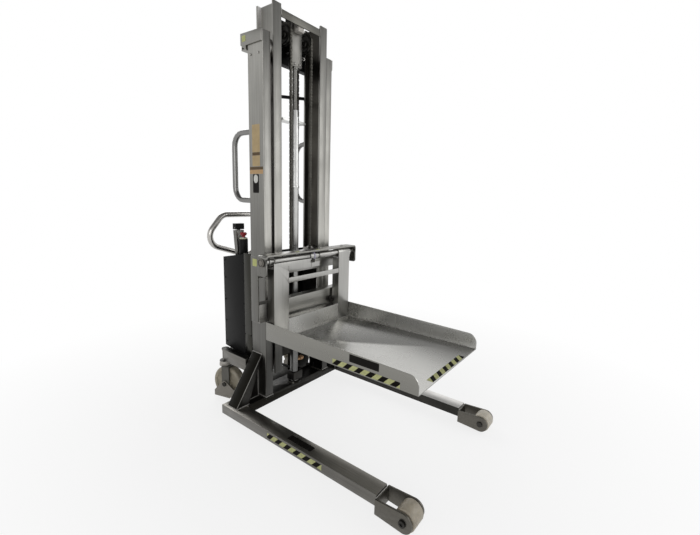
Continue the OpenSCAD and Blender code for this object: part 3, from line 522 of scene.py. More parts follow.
def turnedShape(bm, profile, centre, axis, steps, spin=None):
    # profile: closed loop of (radius, distance along the axis)
    turn = axisTurns[axis] if spin is None else spin @ axisTurns[axis]
    rings = []
    for radius, along in profile:
        spots = arc(radius, steps=steps)[:-1] if radius > 0 else [(0, 0)]
        rings.append([bm.verts.new(place(*centre) + turn @ Vector((x, y, along)) / 1000) for x, y in spots])
    for a, b in zip(rings, rings[1:] + rings[:1]):
        for i in range(steps):
            j = (i + 1) % steps
            corners = [a[i % len(a)], a[j % len(a)], b[j % len(b)], b[i % len(b)]]
            kept = [v for k, v in enumerate(corners) if v not in corners[:k]]
            if len(kept) > 2:
                bm.faces.new(kept)


def sheetShape(bm, outline, offset):
    # a flat outline of points in the row frame, thickened along offset
    low = [bm.verts.new(p) for p in outline]
    high = [bm.verts.new(p + offset) for p in outline]
    bm.faces.new(low)
    bm.faces.new(high[::-1])
    for i in range(len(low)):
        j = (i + 1) % len(low)
        bm.faces.new([low[i], low[j], high[j], high[i]])


def roundedOutline(centre, across, up, radius, steps=5):
    # centre in millimetres, across and up are half-size vectors
    c, a, u = Vector(centre), Vector(across), Vector(up)
    ea, eu = a.normalized(), u.normalized()
    points = []
    for k, (sa, su) in enumerate(((1, 1), (-1, 1), (-1, -1), (1, -1))):
        middle = c + sa * (a - ea * radius) + su * (u - eu * radius)
        points += [place(*(middle + x * ea + y * eu)) for x, y in arc(radius, 90 * k, 90 * k + 90, steps)]
    return points


def sweptShape(bm, path, radius, steps):
    # a round bar along a path of points in millimetres; radius is one number or one per point
    points = [place(*p) for p in path]
    radii = radius if isinstance(radius, list) else [radius] * len(points)
    side = None
    rings = []
    for i, point in enumerate(points):
        ahead = (points[min(i + 1, len(points) - 1)] - points[max(i - 1, 0)]).normalized()
        if side is None:
            side = ahead.orthogonal().normalized()
        side = (side - ahead * side.dot(ahead)).normalized()
        up = ahead.cross(side)
        spots = arc(radii[i] / 1000, steps=steps)[:-1]
        rings.append([bm.verts.new(point + x * side + y * up) for x, y in spots])
    for a, b in zip(rings, rings[1:]):
        for k in range(steps):
            j = (k + 1) % steps
            bm.faces.new([a[k], a[j], b[j], b[k]])
    bm.faces.new(rings[0][::-1])
    bm.faces.new(rings[-1])


def swept(name, path, radius, steps, material, body="chassis"):
    bm = bmesh.new()
    sweptShape(bm, path, radius, steps)
    return finishPiece(name, bm, material, body, 40)


def turned(name, shapes, material, body="chassis"):
    # shapes: (profile, centre, axis, steps, spin) of each turned shape
    bm = bmesh.new()
    for shape in shapes:
        turnedShape(bm, *shape)
    return finishPiece(name, bm, material, body)


def foldedSheet(name, runs, material, body="chassis", ease=0.0008):
    # runs: (profile, from, to, axis), a profile of pairs that is drawn out along X or Y, in millimetres
    bm = bmesh.new()
    for profile, start, end, axis in runs:
        length = (end - start) / 1000
        if axis == "x":
            sheetShape(bm, [place(start, a, b) for a, b in profile], Vector((length, 0, 0)))
        else:
            sheetShape(bm, [place(a, start, b) for a, b in profile], Vector((0, length, 0)))
    piece = finishPiece(name, bm, material, body)
    easeEdges(piece, ease, 40)
    smoothByAngle(piece.data)
    return piece


crossbarProfile = [(-8.5, 1911), (-3.5, 1911), (-3.5, 1939), (-1.5, 1941), (8.5, 1941), (8.5, 1946),
                   (-6, 1946), (-8.5, 1943.5)]
bendLook = {"x": 309, "z": 827.3, "outer": 15.7, "inner": 8, "steps": 5}
rightBend, leftBend = (bendLook["x"], bendLook["z"]), (-bendLook["x"], bendLook["z"])
plateProfile = arc(bendLook["outer"], 0, 90, bendLook["steps"], rightBend)
plateProfile += arc(bendLook["outer"], 90, 180, bendLook["steps"], leftBend)
plateProfile += arc(bendLook["inner"], 180, 90, bendLook["steps"], leftBend)
plateProfile += arc(bendLook["inner"], 90, 0, bendLook["steps"], rightBend)
panProfile = [(131, 44), (134, 44), (134, 75), (239, 75), (239, 44), (242, 44), (242, 78), (131, 78)]
tieProfile = [(-205, 1572), (205, 1632), (205, 1647), (-205, 1587)]
apronProfile = [(111.5, 1762), (150, 1762), (150, 1763.8), (117.6, 1763.8), (117.6, 1866), (111.5, 1866)]
crossProfile = [(-27.5, 725), (-13.5, 725), (-13.5, 789), (-27.5, 789)]
shadeSheetProfile = [(158, 52), (162, 52), (162, 264), (158, 264)]
faceProfile = [(26, 1742), (30, 1742), (30, 1937), (26, 1937)]
backProfile = [(62, 1872), (66, 1872), (66, 1936), (62, 1936)]
topProfile = [(62, 1936), (66, 1936), (66, 1957), (62, 1957)]
flareProfile = [(273, 770), (273, 813), (289, 813), (286, 806), (279, 796)]
sheets = {
    "crossbarFolded": ([(crossbarProfile, -129.7, 129.7, "x")], steelCross, "inner_mast"),
    "carriageTopSheet": ([(plateProfile, -122, -62, "y")], steelAcross, "carriage", 0.0006),
    "rearTieBar": ([(tieProfile, 109.3, 122, "y")], blackFrame),
    "beamApron": ([(apronProfile, -186, 186, "x")], blackFrame),
    "bellyPan": ([(panProfile, -146, 146, "x")], steelShade),
    "carriageUpperSheet": ([(crossProfile, -316, 316, "x")], steelFrame, "carriage"),
    # a sheet of painted shade, where the space behind the chassis is in shade
    "lowerShield": ([(shadeSheetProfile, 60, 231, "x")], steelShade),
    "crossheadFace": ([(faceProfile, -33, 33, "x")], steelPlate, "inner_mast"),
    "crossheadBack": ([(backProfile, -84, 30, "x"), (topProfile, -40, 30, "x")], blackFrame, "inner_mast"),
    "frameFlare": ([(flareProfile, -116.3, -110, "y")], steelFrame, "platform"),
}
folded = {name: foldedSheet(name, *look) for name, look in sheets.items()}
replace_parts(folded["crossbarFolded"], "inner_crossbar")
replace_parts(folded["carriageTopSheet"], "carriage_top_plate")
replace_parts(folded["rearTieBar"], "rear_tie_upper")
print("sheets folded")


casterSpin = Matrix.Rotation(math.radians(15), 3, "Z")
casterLook = {
    "hub": (250, 318), "axle": (-25, 90), "crown": 33, "legX": 37, "wall": 6, "legFront": -49, "legBack": -1,
    "legTop": 186, "kneeZ": 110, "footRadius": 25, "yokeZ": 183, "yokeThick": 0.006,
    "cupReach": 0.0345, "cupLow": 0.1805,
    "cup": [(0, 181.5), (30, 181.5), (32.2, 182.6), (33, 185), (33, 194.4), (31.8, 195.6), (0, 195.6)],
    "head": [(0, 43.8), (11.5, 43.8), (13, 44.8), (13, 48.8), (11.5, 50), (8, 50), (7, 48.6), (0, 48.6)],
    "shank": [(0, -44), (8, -44), (8, 44), (0, 44)],
}


def makeCasterFork(node, name, side, look):
    # a round crown over a yoke, two legs with round feet, in the caster's own frame
    hub = Vector((side * look["hub"][0], look["hub"][1], 0))
    legX, front, back, wall = look["legX"], look["legFront"], look["legBack"], look["wall"]

    def at(x, y, z):
        return place(*(hub + casterSpin @ Vector((x, y, z))))

    bm = bmesh.new()
    yoke = arc(look["crown"], 0, 180, 20) + [(-legX, -4), (-legX, front + 5), (-legX + 5, front)]
    yoke += [(-x, y) for x, y in yoke[:-4:-1]]
    sheetShape(bm, [at(x, y, look["yokeZ"]) for x, y in yoke], Vector((0, 0, look["yokeThick"])))
    turnedShape(bm, look["cup"], tuple(hub), "z", 56)
    leg = [(front, look["legTop"]), (front, look["kneeZ"])]
    leg += arc(look["footRadius"], -180, 0, 18, look["axle"])
    leg += [(back, look["kneeZ"]), (back, look["legTop"])]
    for x in (-legX + wall, legX):
        sheetShape(bm, [at(x, y, z) for y, z in leg], casterSpin @ Vector((-wall / 1000, 0, 0)))
    fork = finishPiece(name, bm, steelCaster, nodeBody[node])
    fork.data.materials.append(steelCup)
    for face in fork.data.polygons:
        spot, reach = face.center, (face.center - place(*hub)).xy.length
        if reach < look["cupReach"] and spot.z > look["cupLow"] and abs(face.normal.z) < 0.99:
            face.material_index = 1
    axleHub = tuple(hub + casterSpin @ Vector((0, *look["axle"])))
    bolt = [(flipped(look["head"], s), axleHub, "x", 6, casterSpin) for s in (-1, 1)]
    bolt.append((look["shank"], axleHub, "x", 24, casterSpin))
    turned(name + "Bolt", bolt, steelDark, nodeBody[node])
    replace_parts(fork, node)


gripLook = {
    "x": 210, "start": 109.3, "reach": 250, "low": 1083, "high": 1407, "bend": 62, "steps": 5, "radius": 13.5,
}


def makeGrip(node, name, side, look):
    # a D of tube: out from the upright, down and back
    turn, bend = look["reach"] - look["bend"], look["bend"]
    path = [(look["start"], look["high"])]
    path += arc(bend, 90, 0, look["steps"], (turn, look["high"] - bend))
    path += arc(bend, 0, -90, look["steps"], (turn, look["low"] + bend))
    path.append((look["start"], look["low"]))
    tube = [(side * look["x"], y, z) for y, z in path]
    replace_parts(swept(name, tube, look["radius"], 24, steelGrip), node)


handleLook = {
    "y": 455, "radius": 15.8, "bend": 66, "steps": 8, "neck": 17, "neckLow": 560, "neckProud": 19,
    "corners": [(-284, 846), (-157, 996), (157, 996), (284, 846)], "foot": (0, 753.5),
    "pads": [((0, 349, 600), 30, 25, 106), ((0, 342.3, 600), 60, 60, 7.7)],
}


def makePushHandle(look):
    # a closed loop of tube, its neck, and the block and plate behind the housing
    corners = [Vector(p) for p in [look["foot"]] + look["corners"] + [look["foot"]]]
    path = [corners[0]]
    for before, corner, after in zip(corners, corners[1:], corners[2:]):
        # each corner becomes an arc that is tangent to both sides
        back, ahead = (before - corner).normalized(), (after - corner).normalized()
        half = back.angle(ahead) / 2
        centre = corner + (back + ahead).normalized() * look["bend"] / math.sin(half)
        start = corner + back * look["bend"] / math.tan(half) - centre
        end = corner + ahead * look["bend"] / math.tan(half) - centre
        turns = [start.slerp(end, i / look["steps"]).normalized() for i in range(look["steps"] + 1)]
        path += [centre + look["bend"] * turn for turn in turns]
    path.append(corners[-1])
    bm = bmesh.new()
    sweptShape(bm, [(p.x, look["y"], p.y) for p in path], look["radius"], 24)
    footX, footZ = look["foot"]
    neck = [(footX, look["y"], look["neckLow"]), (footX, look["y"], footZ + look["neckProud"])]
    sweptShape(bm, neck, look["neck"], 32)
    for centre, across, up, depth in look["pads"]:
        sheetShape(bm, roundedOutline(centre, (across, 0, 0), (0, 0, up), 3), Vector((0, depth / 1000, 0)))
    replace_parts(finishPiece("pushHandle", bm, steelTube, "chassis", 40), "push_handle")


makePushHandle(handleLook)
for label, side in (("Left", -1), ("Right", 1)):
    makeGrip("grip_" + label.lower(), "grip" + label, side, gripLook)
    makeCasterFork("caster_fork_" + label.lower(), "casterFork" + label, side, casterLook)
print("grips, push handle and caster forks made")


# Films and plain plates, in the places where the machine carries coloured patches. Each one has a face,
# a centre, half its width and height along that face, and a corner radius, in millimetres.
filmThickness = 0.35 / 1000
filmFaces = {
    "left": ((0, 1, 0), (0, 0, 1), (-1, 0, 0)),
    "right": ((0, 1, 0), (0, 0, 1), (1, 0, 0)),
    "top": ((1, 0, 0), (0, 1, 0), (0, 0, 1)),
}
films = {
    "tanFilmUpper": (tanFilm, "left", (-232, 54.5, 1369), 27.5, 62.5, 3),
    "tanFilmBand": (brownFilm, "left", (-232, 54.5, 1299), 27.5, 7, 1),
    "tanFilmLower": (tanFilm, "left", (-232, 54.5, 1267), 27.5, 24.5, 2),
    "orangeFilmBand": (brownFilm, "left", (-232, 54, 1233.5), 48, 6.5, 1),
    "orangeFilmPiece": (orangeFilm, "left", (-232, 54, 1217), 48, 9.5, 2),
    "blackFilmPiece": (blackFilm, "left", (-232, 58.5, 1162.5), 21.5, 43.5, 4),
    "paleOvalPiece": (paleFilm, "left", (-232.35, 58.5, 1184.5), 15, 19.5, 14.9),
    "limeFilmBeam": (limeFilm, "left", (-238.3, 125, 1811), 13, 13, 3),
    "limeFilmEar": (limeFilm, "left", (-325, -44, 806), 15, 17, 3, "carriage"),
    "limeFilmPlateLeft": (limeFilm, "top", (-120, -106, 843), 12, 9, 2, "carriage"),
    "limeFilmPlateRight": (limeFilm, "top", (20, -110, 843), 11, 8, 2, "carriage"),
    "blackPlateTray": (blackFilm, "left", (-280, -639, 484), 71, 16, 2.5, "platform"),
    "blackPlateLeg": (blackFilm, "top", (-367, -389, 80), 15, 69, 3),
    "stripesLegLeft": (stripeSide, "left", (-402, -376, 59), 163, 12, 1),
    "stripesLegRight": (stripeSide, "right", (402, -376, 59), 163, 12, 1),
    "stripesTrayLeft": (stripeSide, "left", (-280, -642, 445), 161, 11.5, 1, "platform"),
    "stripesTrayRight": (stripeSide, "right", (280, -642, 445), 161, 11.5, 1, "platform"),
    "stripesTrayFloor": (stripeFloor, "top", (-2, -860, 433), 154, 14, 1, "platform"),
}


def makeFilm(name, material, face, centre, across, up, radius, body="chassis"):
    alongFace, upFace, out = (Vector(v) for v in filmFaces[face])
    bm = bmesh.new()
    sheetShape(bm, roundedOutline(centre, across * alongFace, up * upFace, radius), out * filmThickness)
    finishPiece(name, bm, material, body)


for name, look in films.items():
    makeFilm(name, *look)
print("films laid")


# Geometry Nodes: three trees, for beads along seams, links along a chain and studs at points.
def startTree(name, sockets):
    # sockets: (name, kind, value) of the inputs between the geometry and the material
    tree = bpy.data.node_groups.new(name, "GeometryNodeTree")
    for label, kind, value in [("Geometry", "Geometry", None)] + sockets + [("Material", "Material", None)]:
        socket = tree.interface.new_socket(name=label, in_out="INPUT", socket_type="NodeSocket" + kind)
        if value is not None:
            socket.default_value = value
    tree.interface.new_socket(name="Geometry", in_out="OUTPUT", socket_type="NodeSocketGeometry")
    return tree, addNode(tree, "NodeGroupInput").outputs


def endTree(tree, given, geometry):
    # gives back the tree and its inputs' identifiers by name
    real = addNode(tree, "GeometryNodeRealizeInstances", {"Geometry": geometry})
    dressed = addNode(tree, "GeometryNodeSetMaterial", {"Geometry": real, "Material": given["Material"]})
    addNode(tree, "NodeGroupOutput", {0: dressed})
    return tree, {item.name: item.identifier for item in tree.interface.items_tree if item.in_out == "INPUT"}


def turnTo(tree, forward, sideways=(1, 0, 0)):
    kind = "FunctionNodeAlignRotationToVector"
    first = addNode(tree, kind, {"Vector": forward}, axis="Z")
    return addNode(tree, kind, {"Rotation": first, "Vector": sideways}, axis="X", pivot_axis="Z")


def pointsAlong(tree, given, spacing):
    # points at even steps along the lines that come in
    curve = addNode(tree, "GeometryNodeMeshToCurve", {"Mesh": given["Geometry"]})
    inputs = {"Curve": curve, "Length": given[spacing]}
    return addNode(tree, "GeometryNodeCurveToPoints", inputs, mode="LENGTH").outputs


def instances(tree, points, shape, turn, **others):
    inputs = {"Points": points, "Instance": shape, "Rotation": turn, **others}
    return addNode(tree, "GeometryNodeInstanceOnPoints", inputs)


def shapeOf(tree, source):
    return addNode(tree, "GeometryNodeObjectInfo", {"Object": source}).outputs["Geometry"]


def makeBeadTree():
    tree, given = startTree("weldBeads", [
        ("Spacing", "Float", 0.0022), ("Width", "Float", 0.003), ("Seed", "Int", 7)])
    points = pointsAlong(tree, given, "Spacing")
    drop = addNode(tree, "GeometryNodeMeshIcoSphere", {"Subdivisions": 1, "Radius": given["Width"]})
    inputs = {0: (0.82, 0.82, 0.6), 1: (1.12, 1.12, 0.8), "Seed": given["Seed"]}
    size = addNode(tree, "FunctionNodeRandomValue", inputs, data_type="FLOAT_VECTOR")
    turn = turnTo(tree, points["Tangent"])
    return endTree(tree, given, instances(tree, points["Points"], drop, turn, Scale=size))


def makeChainTree():
    tree, given = startTree("chainLinks", [
        ("Pitch", "Float", 0.0127), ("Outer link", "Object", None), ("Inner link", "Object", None)])
    points = pointsAlong(tree, given, "Pitch")
    turn = turnTo(tree, points["Tangent"])
    odd = mathNode(tree, "MODULO", addNode(tree, "GeometryNodeInputIndex"), 2.0)
    even = mathNode(tree, "SUBTRACT", 1.0, odd)
    both = addNode(tree, "GeometryNodeJoinGeometry")
    for label, chosen in (("Outer link", odd), ("Inner link", even)):
        shape = shapeOf(tree, given[label])
        plug(tree, both, {0: instances(tree, points["Points"], shape, turn, Selection=chosen)})
    return endTree(tree, given, both)


def makeStudTree():
    tree, given = startTree("studs", [("Stud", "Object", None), ("Size", "Float", 1.0)])
    facing = addNode(tree, "GeometryNodeInputNamedAttribute", {"Name": "facing"}, data_type="FLOAT_VECTOR")
    shape, turn = shapeOf(tree, given["Stud"]), turnTo(tree, facing)
    return endTree(tree, given, instances(tree, given["Geometry"], shape, turn, Scale=given["Size"]))


beadMaker, chainMaker, studMaker = makeBeadTree(), makeChainTree(), makeStudTree()


def grow(name, mesh, maker, values, body, smooth=32):
    # runs a tree on a mesh of points or lines and keeps the result as a plain mesh
    piece = linked(name, mesh)
    growth = piece.modifiers.new("grow", "NODES")
    growth.node_group, keys = maker
    for label, value in values.items():
        growth[keys[label]] = value
    bakeModifiers(piece)
    smoothByAngle(piece.data, smooth)
    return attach(piece, body) if body else piece


def lineMesh(name, runs):
    mesh = bpy.data.meshes.new(name)
    spots, edges = [], []
    for run in runs:
        edges += [(len(spots) + i, len(spots) + i + 1) for i in range(len(run) - 1)]
        spots += [place(*p) for p in run]
    mesh.from_pydata(spots, edges, [])
    return mesh


def mirrored(runs):
    return runs + [[(-x, y, z) for x, y, z in run] for run in runs]


def ringRun(centre, radius, axis):
    return [tuple(Vector(centre) + axisTurns[axis] @ Vector((x, y, 0))) for x, y in arc(radius)]


seams = {
    "weldsChassis": ("chassis", 0.003, mirrored([
        [(-233, 30, 316), (-233, 102, 316)], [(-387, 30, 80.5), (-387, 102, 80.5)],
        [(-383, 30, 80.5), (-314, 30, 80.5)], [(-383, 63.5, 80.5), (-233, 63.5, 80.5), (-233, 63.5, 306)],
        [(-383, 70.5, 80.5), (-233, 70.5, 80.5), (-233, 70.5, 306)],
        [(-232, 0, 92), (-188, 0, 92)], [(-232.3, 2, 92), (-232.3, 107, 92)],
        [(-330, 22, 36), (-330, 20, 80), (-330, 129, 80)],
        [(-400, -800.2, 70), (-332, -800.2, 70)], [(-402, -800.2, 38), (-402, -800.2, 70)],
        [(-232, 4, 1783), (-232, 4, 1828)], [(-232.3, 111, 216), (-232.3, 111, 276)],
        ringRun((-210, 110, 1083), 13.6, "y"), ringRun((-210, 110, 1402), 13.6, "y")]) + [
        ringRun((0, 42, 91), 22, "z"), ringRun((0, 455, 771), 16, "z"),
        [(-30, 350.5, 575), (-30, 350.5, 625), (30, 350.5, 625), (30, 350.5, 575), (-30, 350.5, 575)]]),
    "weldsCarriage": ("carriage", 0.0026, mirrored([
        [(-317, -62, 521), (-317, -62, 605)], [(-317, -26, 740), (-317, -26, 786)],
        [(-317, -120, 836), (-317, -64, 836)],
        [(-120, -14, 545), (-120, -14, 786)], [(-80, -14, 752), (-56, -14, 752)]])),
    "weldsPlatform": ("platform", 0.0022, mirrored([
        [(-276, -112, 433.4), (-276, -836, 433.4)], [(-274, -116.6, 433.2), (-184, -116.6, 433.2)],
        [(-184, -116, 700), (-184, -116, 724)], [(-184, -116, 758), (-184, -116, 782)]]) + [
        [(-183, -117, 433.4), (183, -117, 433.4)], [(-31, -116, 761), (-31, -116, 786)],
        ringRun((-258, -92, 810), 13.5, "x"), [(-270, -98, 794.5), (-34, -98, 794.5)]]),
    "weldsInnerMast": ("inner_mast", 0.0022, mirrored([
        [(-129.8, -8.5, 1920), (-129.8, -8.5, 1945)], [(-129.8, -8.5, 1946), (-129.8, 8, 1946)]])),
}
for name, (body, width, runs) in seams.items():
    values = {"Width": width, "Spacing": width * 0.75, "Seed": 7, "Material": weldSteel}
    grow(name, lineMesh(name, runs), beadMaker, values, body, 60)
print("seams welded")


chainLook = {
    "pitch": 0.0148, "half": 0.0057, "waist": 0.0043, "plate": 0.0013, "pinRadius": 0.0026, "pinHalf": 0.0068,
    "x": 68, "front": -3.5, "back": 91.5, "top": 1864, "frontFoot": 766, "backFoot": 1514,
    "wrapCentre": (44, 1866), "wrapRadius": 47.5, "wrapSteps": 30,
}


def makeLink(name, plates, look):
    # plates: places across the chain; each plate spans one pitch upwards
    bm = bmesh.new()
    outline = []
    for end, start, waist in ((look["pitch"], 0, -look["waist"]), (0, 180, look["waist"])):
        outline += arc(look["half"], start + 22.5, start + 157.5, 4, (0, end))
        outline.append((waist, look["pitch"] / 2))
    for x in plates:
        spots = [Vector((x - look["plate"] / 2, y, z)) for y, z in outline]
        sheetShape(bm, spots, Vector((look["plate"], 0, 0)))
    start, end = plates[-1] + look["plate"] / 2, look["pinHalf"]
    for side in (-1, 1):
        pin = [Vector((side * start, y, z)) for y, z in arc(look["pinRadius"], 0, 315, 7)]
        sheetShape(bm, pin, Vector((side * (end - start), 0, 0)))
    return linked(name, closedMesh(name, bm))


def makeChains(look):
    outer = makeLink("outerLinkShape", [-0.0053, -0.0018, 0.0018, 0.0053], look)
    inner = makeLink("innerLinkShape", [-0.0036, 0, 0.0036], look)
    wrap = arc(look["wrapRadius"], 180, 0, look["wrapSteps"], look["wrapCentre"])
    lines = {
        "chain_front": [(look["front"], look["frontFoot"]), (look["front"], look["top"])],
        "chain_back": [(look["back"], look["backFoot"]), (look["back"], look["top"])],
        "chain_wraps": wrap,
    }
    values = {"Outer link": outer, "Inner link": inner, "Pitch": look["pitch"], "Material": chainSteel}
    pieces = {}
    for node, line in lines.items():
        runs = [[(side * look["x"], y, z) for y, z in line] for side in (-1, 1)]
        riding = "inner_mast" if node == "chain_wraps" else None
        pieces[node] = grow(node + "Links", lineMesh(node + "Path", runs), chainMaker, values, riding)
        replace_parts(pieces[node], node)
    for source in (outer, inner):
        bpy.data.objects.remove(source)
    return pieces


chains = makeChains(chainLook)
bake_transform(chains["chain_front"])
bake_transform(chains["chain_back"])
print("chains linked")


# Shapes by profile and steps round; a louvre is a small turned rib that is stretched sideways.
studShapes = {
    "hexHead": ([(0, 5.4), (6.2, 5.4), (7.4, 4.4), (7.4, 0), (0, 0)], 6),
    "washer": ([(0, 1.4), (9.4, 1.4), (10, 0.8), (10, 0), (0, 0)], 24),
    "panHead": ([(0, 2.4), (1.4, 2.4), (1.6, 1.4), (1.9, 2.3), (3.4, 1.8), (4.4, 0.6), (4.5, 0), (0, 0)], 16),
    "louvre": ([(0, 3), (2.2, 2.4), (3.2, 0), (0, 0)], 12),
}
louvreStretch = 9


def makeStud(name, profile, steps):
    bm = bmesh.new()
    turnedShape(bm, profile, (0, -mastFrontY * 1000, 0), "z", steps)
    return linked(name, closedMesh(name, bm))


studSources = {name: makeStud(name + "Shape", *shape) for name, shape in studShapes.items()}
for vertex in studSources["louvre"].data.vertices:
    vertex.co.x *= louvreStretch
up, behind, front = (0, 0, 1), (0, 1, 0), (0, -1, 0)
coverScrews = [((s * 232, y, z), (s, 0, 0)) for s in (-1, 1) for y in (176, 330)
               for z in (310, 430, 550, 670, 765)]
backScrews = [((x, 342, z), behind) for x in (-215, 215) for z in (310, 470, 630, 760)]
backScrews += [((x, 350, z), behind) for x in (-48, 48) for z in (552, 648)]
louvres = [((x, 342, z), behind) for x in (-130, 130) for z in range(360, 500, 14)]
plateBolts, panBolts, beamBolts = (-240, -100, 60, 230), (-120, -40, 40, 120), (-190, -150, 150, 190)
studRows = {
    "topPlateWashers": ("washer", steelBolt, 1.0, [((x, -92, 843), up) for x in plateBolts], "carriage"),
    "topPlateBolts": ("hexHead", steelBolt, 0.95, [((x, -92, 844.4), up) for x in plateBolts], "carriage"),
    "bellyPanBolts": ("hexHead", steelBeam, 0.8, [((x, 222, 78), up) for x in panBolts]),
    "coverScrews": ("panHead", blackPlastic, 1.0, coverScrews),
    "coverBackScrews": ("panHead", steelBolt, 1.1, backScrews),
    "coverLouvres": ("louvre", blackPanel, 1.0, louvres),
    "beamBolts": ("hexHead", steelBolt, 1.0, [((x, 150, 1800), behind) for x in beamBolts]),
    "crossheadBolts": ("panHead", steelBolt, 1.15, [((x, 23, 1750), front) for x in (-17, 17)], "inner_mast"),
}


def makeStuds(name, shape, material, size, spots, body="chassis"):
    mesh = bpy.data.meshes.new(name)
    mesh.from_pydata([place(*spot) for spot, facing in spots], [], [])
    facings = mesh.attributes.new("facing", "FLOAT_VECTOR", "POINT")
    facings.data.foreach_set("vector", [c for spot, facing in spots for c in facing])
    values = {"Stud": studSources[shape], "Size": size, "Material": material}
    grow(name, mesh, studMaker, values, body)


for name, look in studRows.items():
    makeStuds(name, *look)
for source in studSources.values():
    bpy.data.objects.remove(source)
print("screws and louvres set")


# Turned details: bearings, end discs, collars, ferrules.
def bearingRing(r0, r1, side, face, proud):
    # a flat ring beside a hub's face, with its outer edges taken off
    top = face + proud
    profile = [(r0, face - 0.4), (r1, face - 0.4), (r1, top - 0.3), (r1 - 0.5, top), (r0 + 0.5, top)]
    return flipped(profile + [(r0, top - 0.3)], side)


def makeBearings(body, centre, face, inner, outer, spin):
    # outer race, seal and inner race on both faces of a hub
    third = (outer - inner) * 0.28
    races, seals = [], []
    for side in (-1, 1):
        for r0, r1 in ((inner, inner + third), (outer - third, outer)):
            races.append((bearingRing(r0, r1, side, face, 1.0), centre, "x", 40, spin))
        seal = bearingRing(inner + third, outer - third, side, face, 0.4)
        seals.append((seal, centre, "x", 40, spin))
    turned(body + "Races", races, steelBolt, body)
    turned(body + "Seals", seals, rubberSeal, body)


for side, name in ((-1, "left"), (1, "right")):
    makeBearings("load_roller_" + name, (side * 366, -912, 41), 32.5, 11.5, 24, None)
    wheel = Vector((side * casterLook["hub"][0], casterLook["hub"][1], casterLook["axle"][1]))
    wheel += casterSpin @ Vector((0, casterLook["axle"][0], 0))
    makeBearings("caster_wheel_" + name, tuple(wheel), 28, 9.5, 21, casterSpin)
shaftSpot, stopSpot = (0, -92, 810), (-176, 240, 0)
endDisc = [(0, 330.6), (12.2, 330.6), (12.2, 331.6), (13.4, 332.2), (18, 332.2), (19, 331.4), (19, 326.6),
           (0, 326.6)]
endRing = [(13.2, 330.2), (16.2, 330.2), (16.2, 332.6), (13.2, 332.6)]
sleeve = [(12.2, -28), (19.2, -28), (20, -27), (20, -7), (17.5, -6), (17.5, 27), (16.8, 28), (12.2, 28)]
collar = [(17.2, 880.2), (20.4, 880.2), (20.8, 881), (19.6, 886.4), (17.2, 886.8)]
neckRing = [(9.4, 887.2), (14, 887.2), (14, 889.4), (13.2, 890), (9.4, 890)]
clamp = [(17, -6), (21.6, -6), (22, -5), (22, 2), (21.4, 3), (17, 3)]
gland = [(12.4, 1537), (16.8, 1537), (16.8, 1539), (15.8, 1540), (12.4, 1540)]
ferrule = [(0, 0), (8.4, 0), (8.8, 0.8), (8.8, 6), (8.1, 7), (8.8, 8), (8.8, 14), (8.1, 15), (8.8, 16),
           (8.8, 19), (8.2, 20), (0, 20)]
union = [(0, -24), (9, -24), (10, -22), (10, -6), (14, -5), (14, 12), (10, 13), (10, 20), (8, 22), (0, 22)]
nut = [(0, -6), (8.6, -6), (9.6, -5), (9.6, 3), (8.6, 4), (0, 4)]


def bothEnds(profile):
    # the same profile at both ends of the fork shaft
    return [(flipped(profile, s), shaftSpot, "x", 40) for s in (-1, 1)]


turnedParts = {
    "shaftEndDiscs": (bothEnds(endDisc), steelGuard, "carriage"),
    "shaftEndRings": (bothEnds(endRing), steelDark, "carriage"),
    "stopCollar": ([(collar, stopSpot, "z", 48)], paleCollar),
    "clampSleeve": ([(sleeve, shaftSpot, "x", 48)], steelFrame, "platform"),
    "clampRing": ([(clamp, shaftSpot, "x", 48)], clampRingPaintedSheen, "platform"),
    "stopNeckRing": ([(neckRing, stopSpot, "z", 48)], steelBolt),
    "glandRing": ([(gland, (0, 42, 0), "z", 40)], rubberSeal),
    "hoseFerrules": ([(ferrule, (47, 240, 302), "z", 28), (ferrule, (47, 53, 118), "y", 28)], steelBolt),
    "portUnion": ([(union, (45, 42, 202), "x", 6)], brassFitting),
    "hoseNuts": ([(nut, (47, 240, 324), "z", 6)], brassFitting),
}
turnedPieces = {name: turned(name, *look) for name, look in turnedParts.items()}
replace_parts(turnedPieces["clampSleeve"], "shaft_clamp")
bm = bmesh.new()
sheetShape(bm, roundedOutline((-22, -117, 788), (14, 0, 0), (0, 0, 8), 2), Vector((0, 0.012, 0)))
finishPiece("clampLug", bm, steelDark, "platform")
print("bearings and discs turned")


hoseLook = {"radius": 7, "bend": 38, "rib": 0.35, "step": 4, "x": 47, "high": 309, "low": 118, "back": 240,
            "front": 62}


def makeHose(look):
    # down, round a bend and forwards to the cylinder's foot, with fine ribs
    bend, step = look["bend"], look["step"]
    turnY = look["back"] - bend
    fall = look["high"] - look["low"] - bend
    path = [(look["back"], look["high"] - i * step) for i in range(int(fall / step))]
    path += arc(bend, 0, -90, 18, (turnY, look["low"] + bend))
    path += [(turnY - (i + 1) * step, look["low"]) for i in range(int((turnY - look["front"]) / step))]
    radii = [look["radius"] - look["rib"] * (i % 2) for i in range(len(path))]
    route = [(look["x"], y, z) for y, z in path]
    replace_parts(swept("hydraulicHose", route, radii, 20, rubberHose), "hydraulic_hose")


makeHose(hoseLook)
clip = [(35, 38, 1796), (48, 36, 1796)] + [(x, 35, z) for x, z in arc(5, 90, -90, 9, (56, 1791))]
clip += [(48, 36, 1786), (35, 38, 1786)]
swept("crossheadClip", clip, 1.9, 10, steelTube, "inner_mast")
print("hose and clip swept")


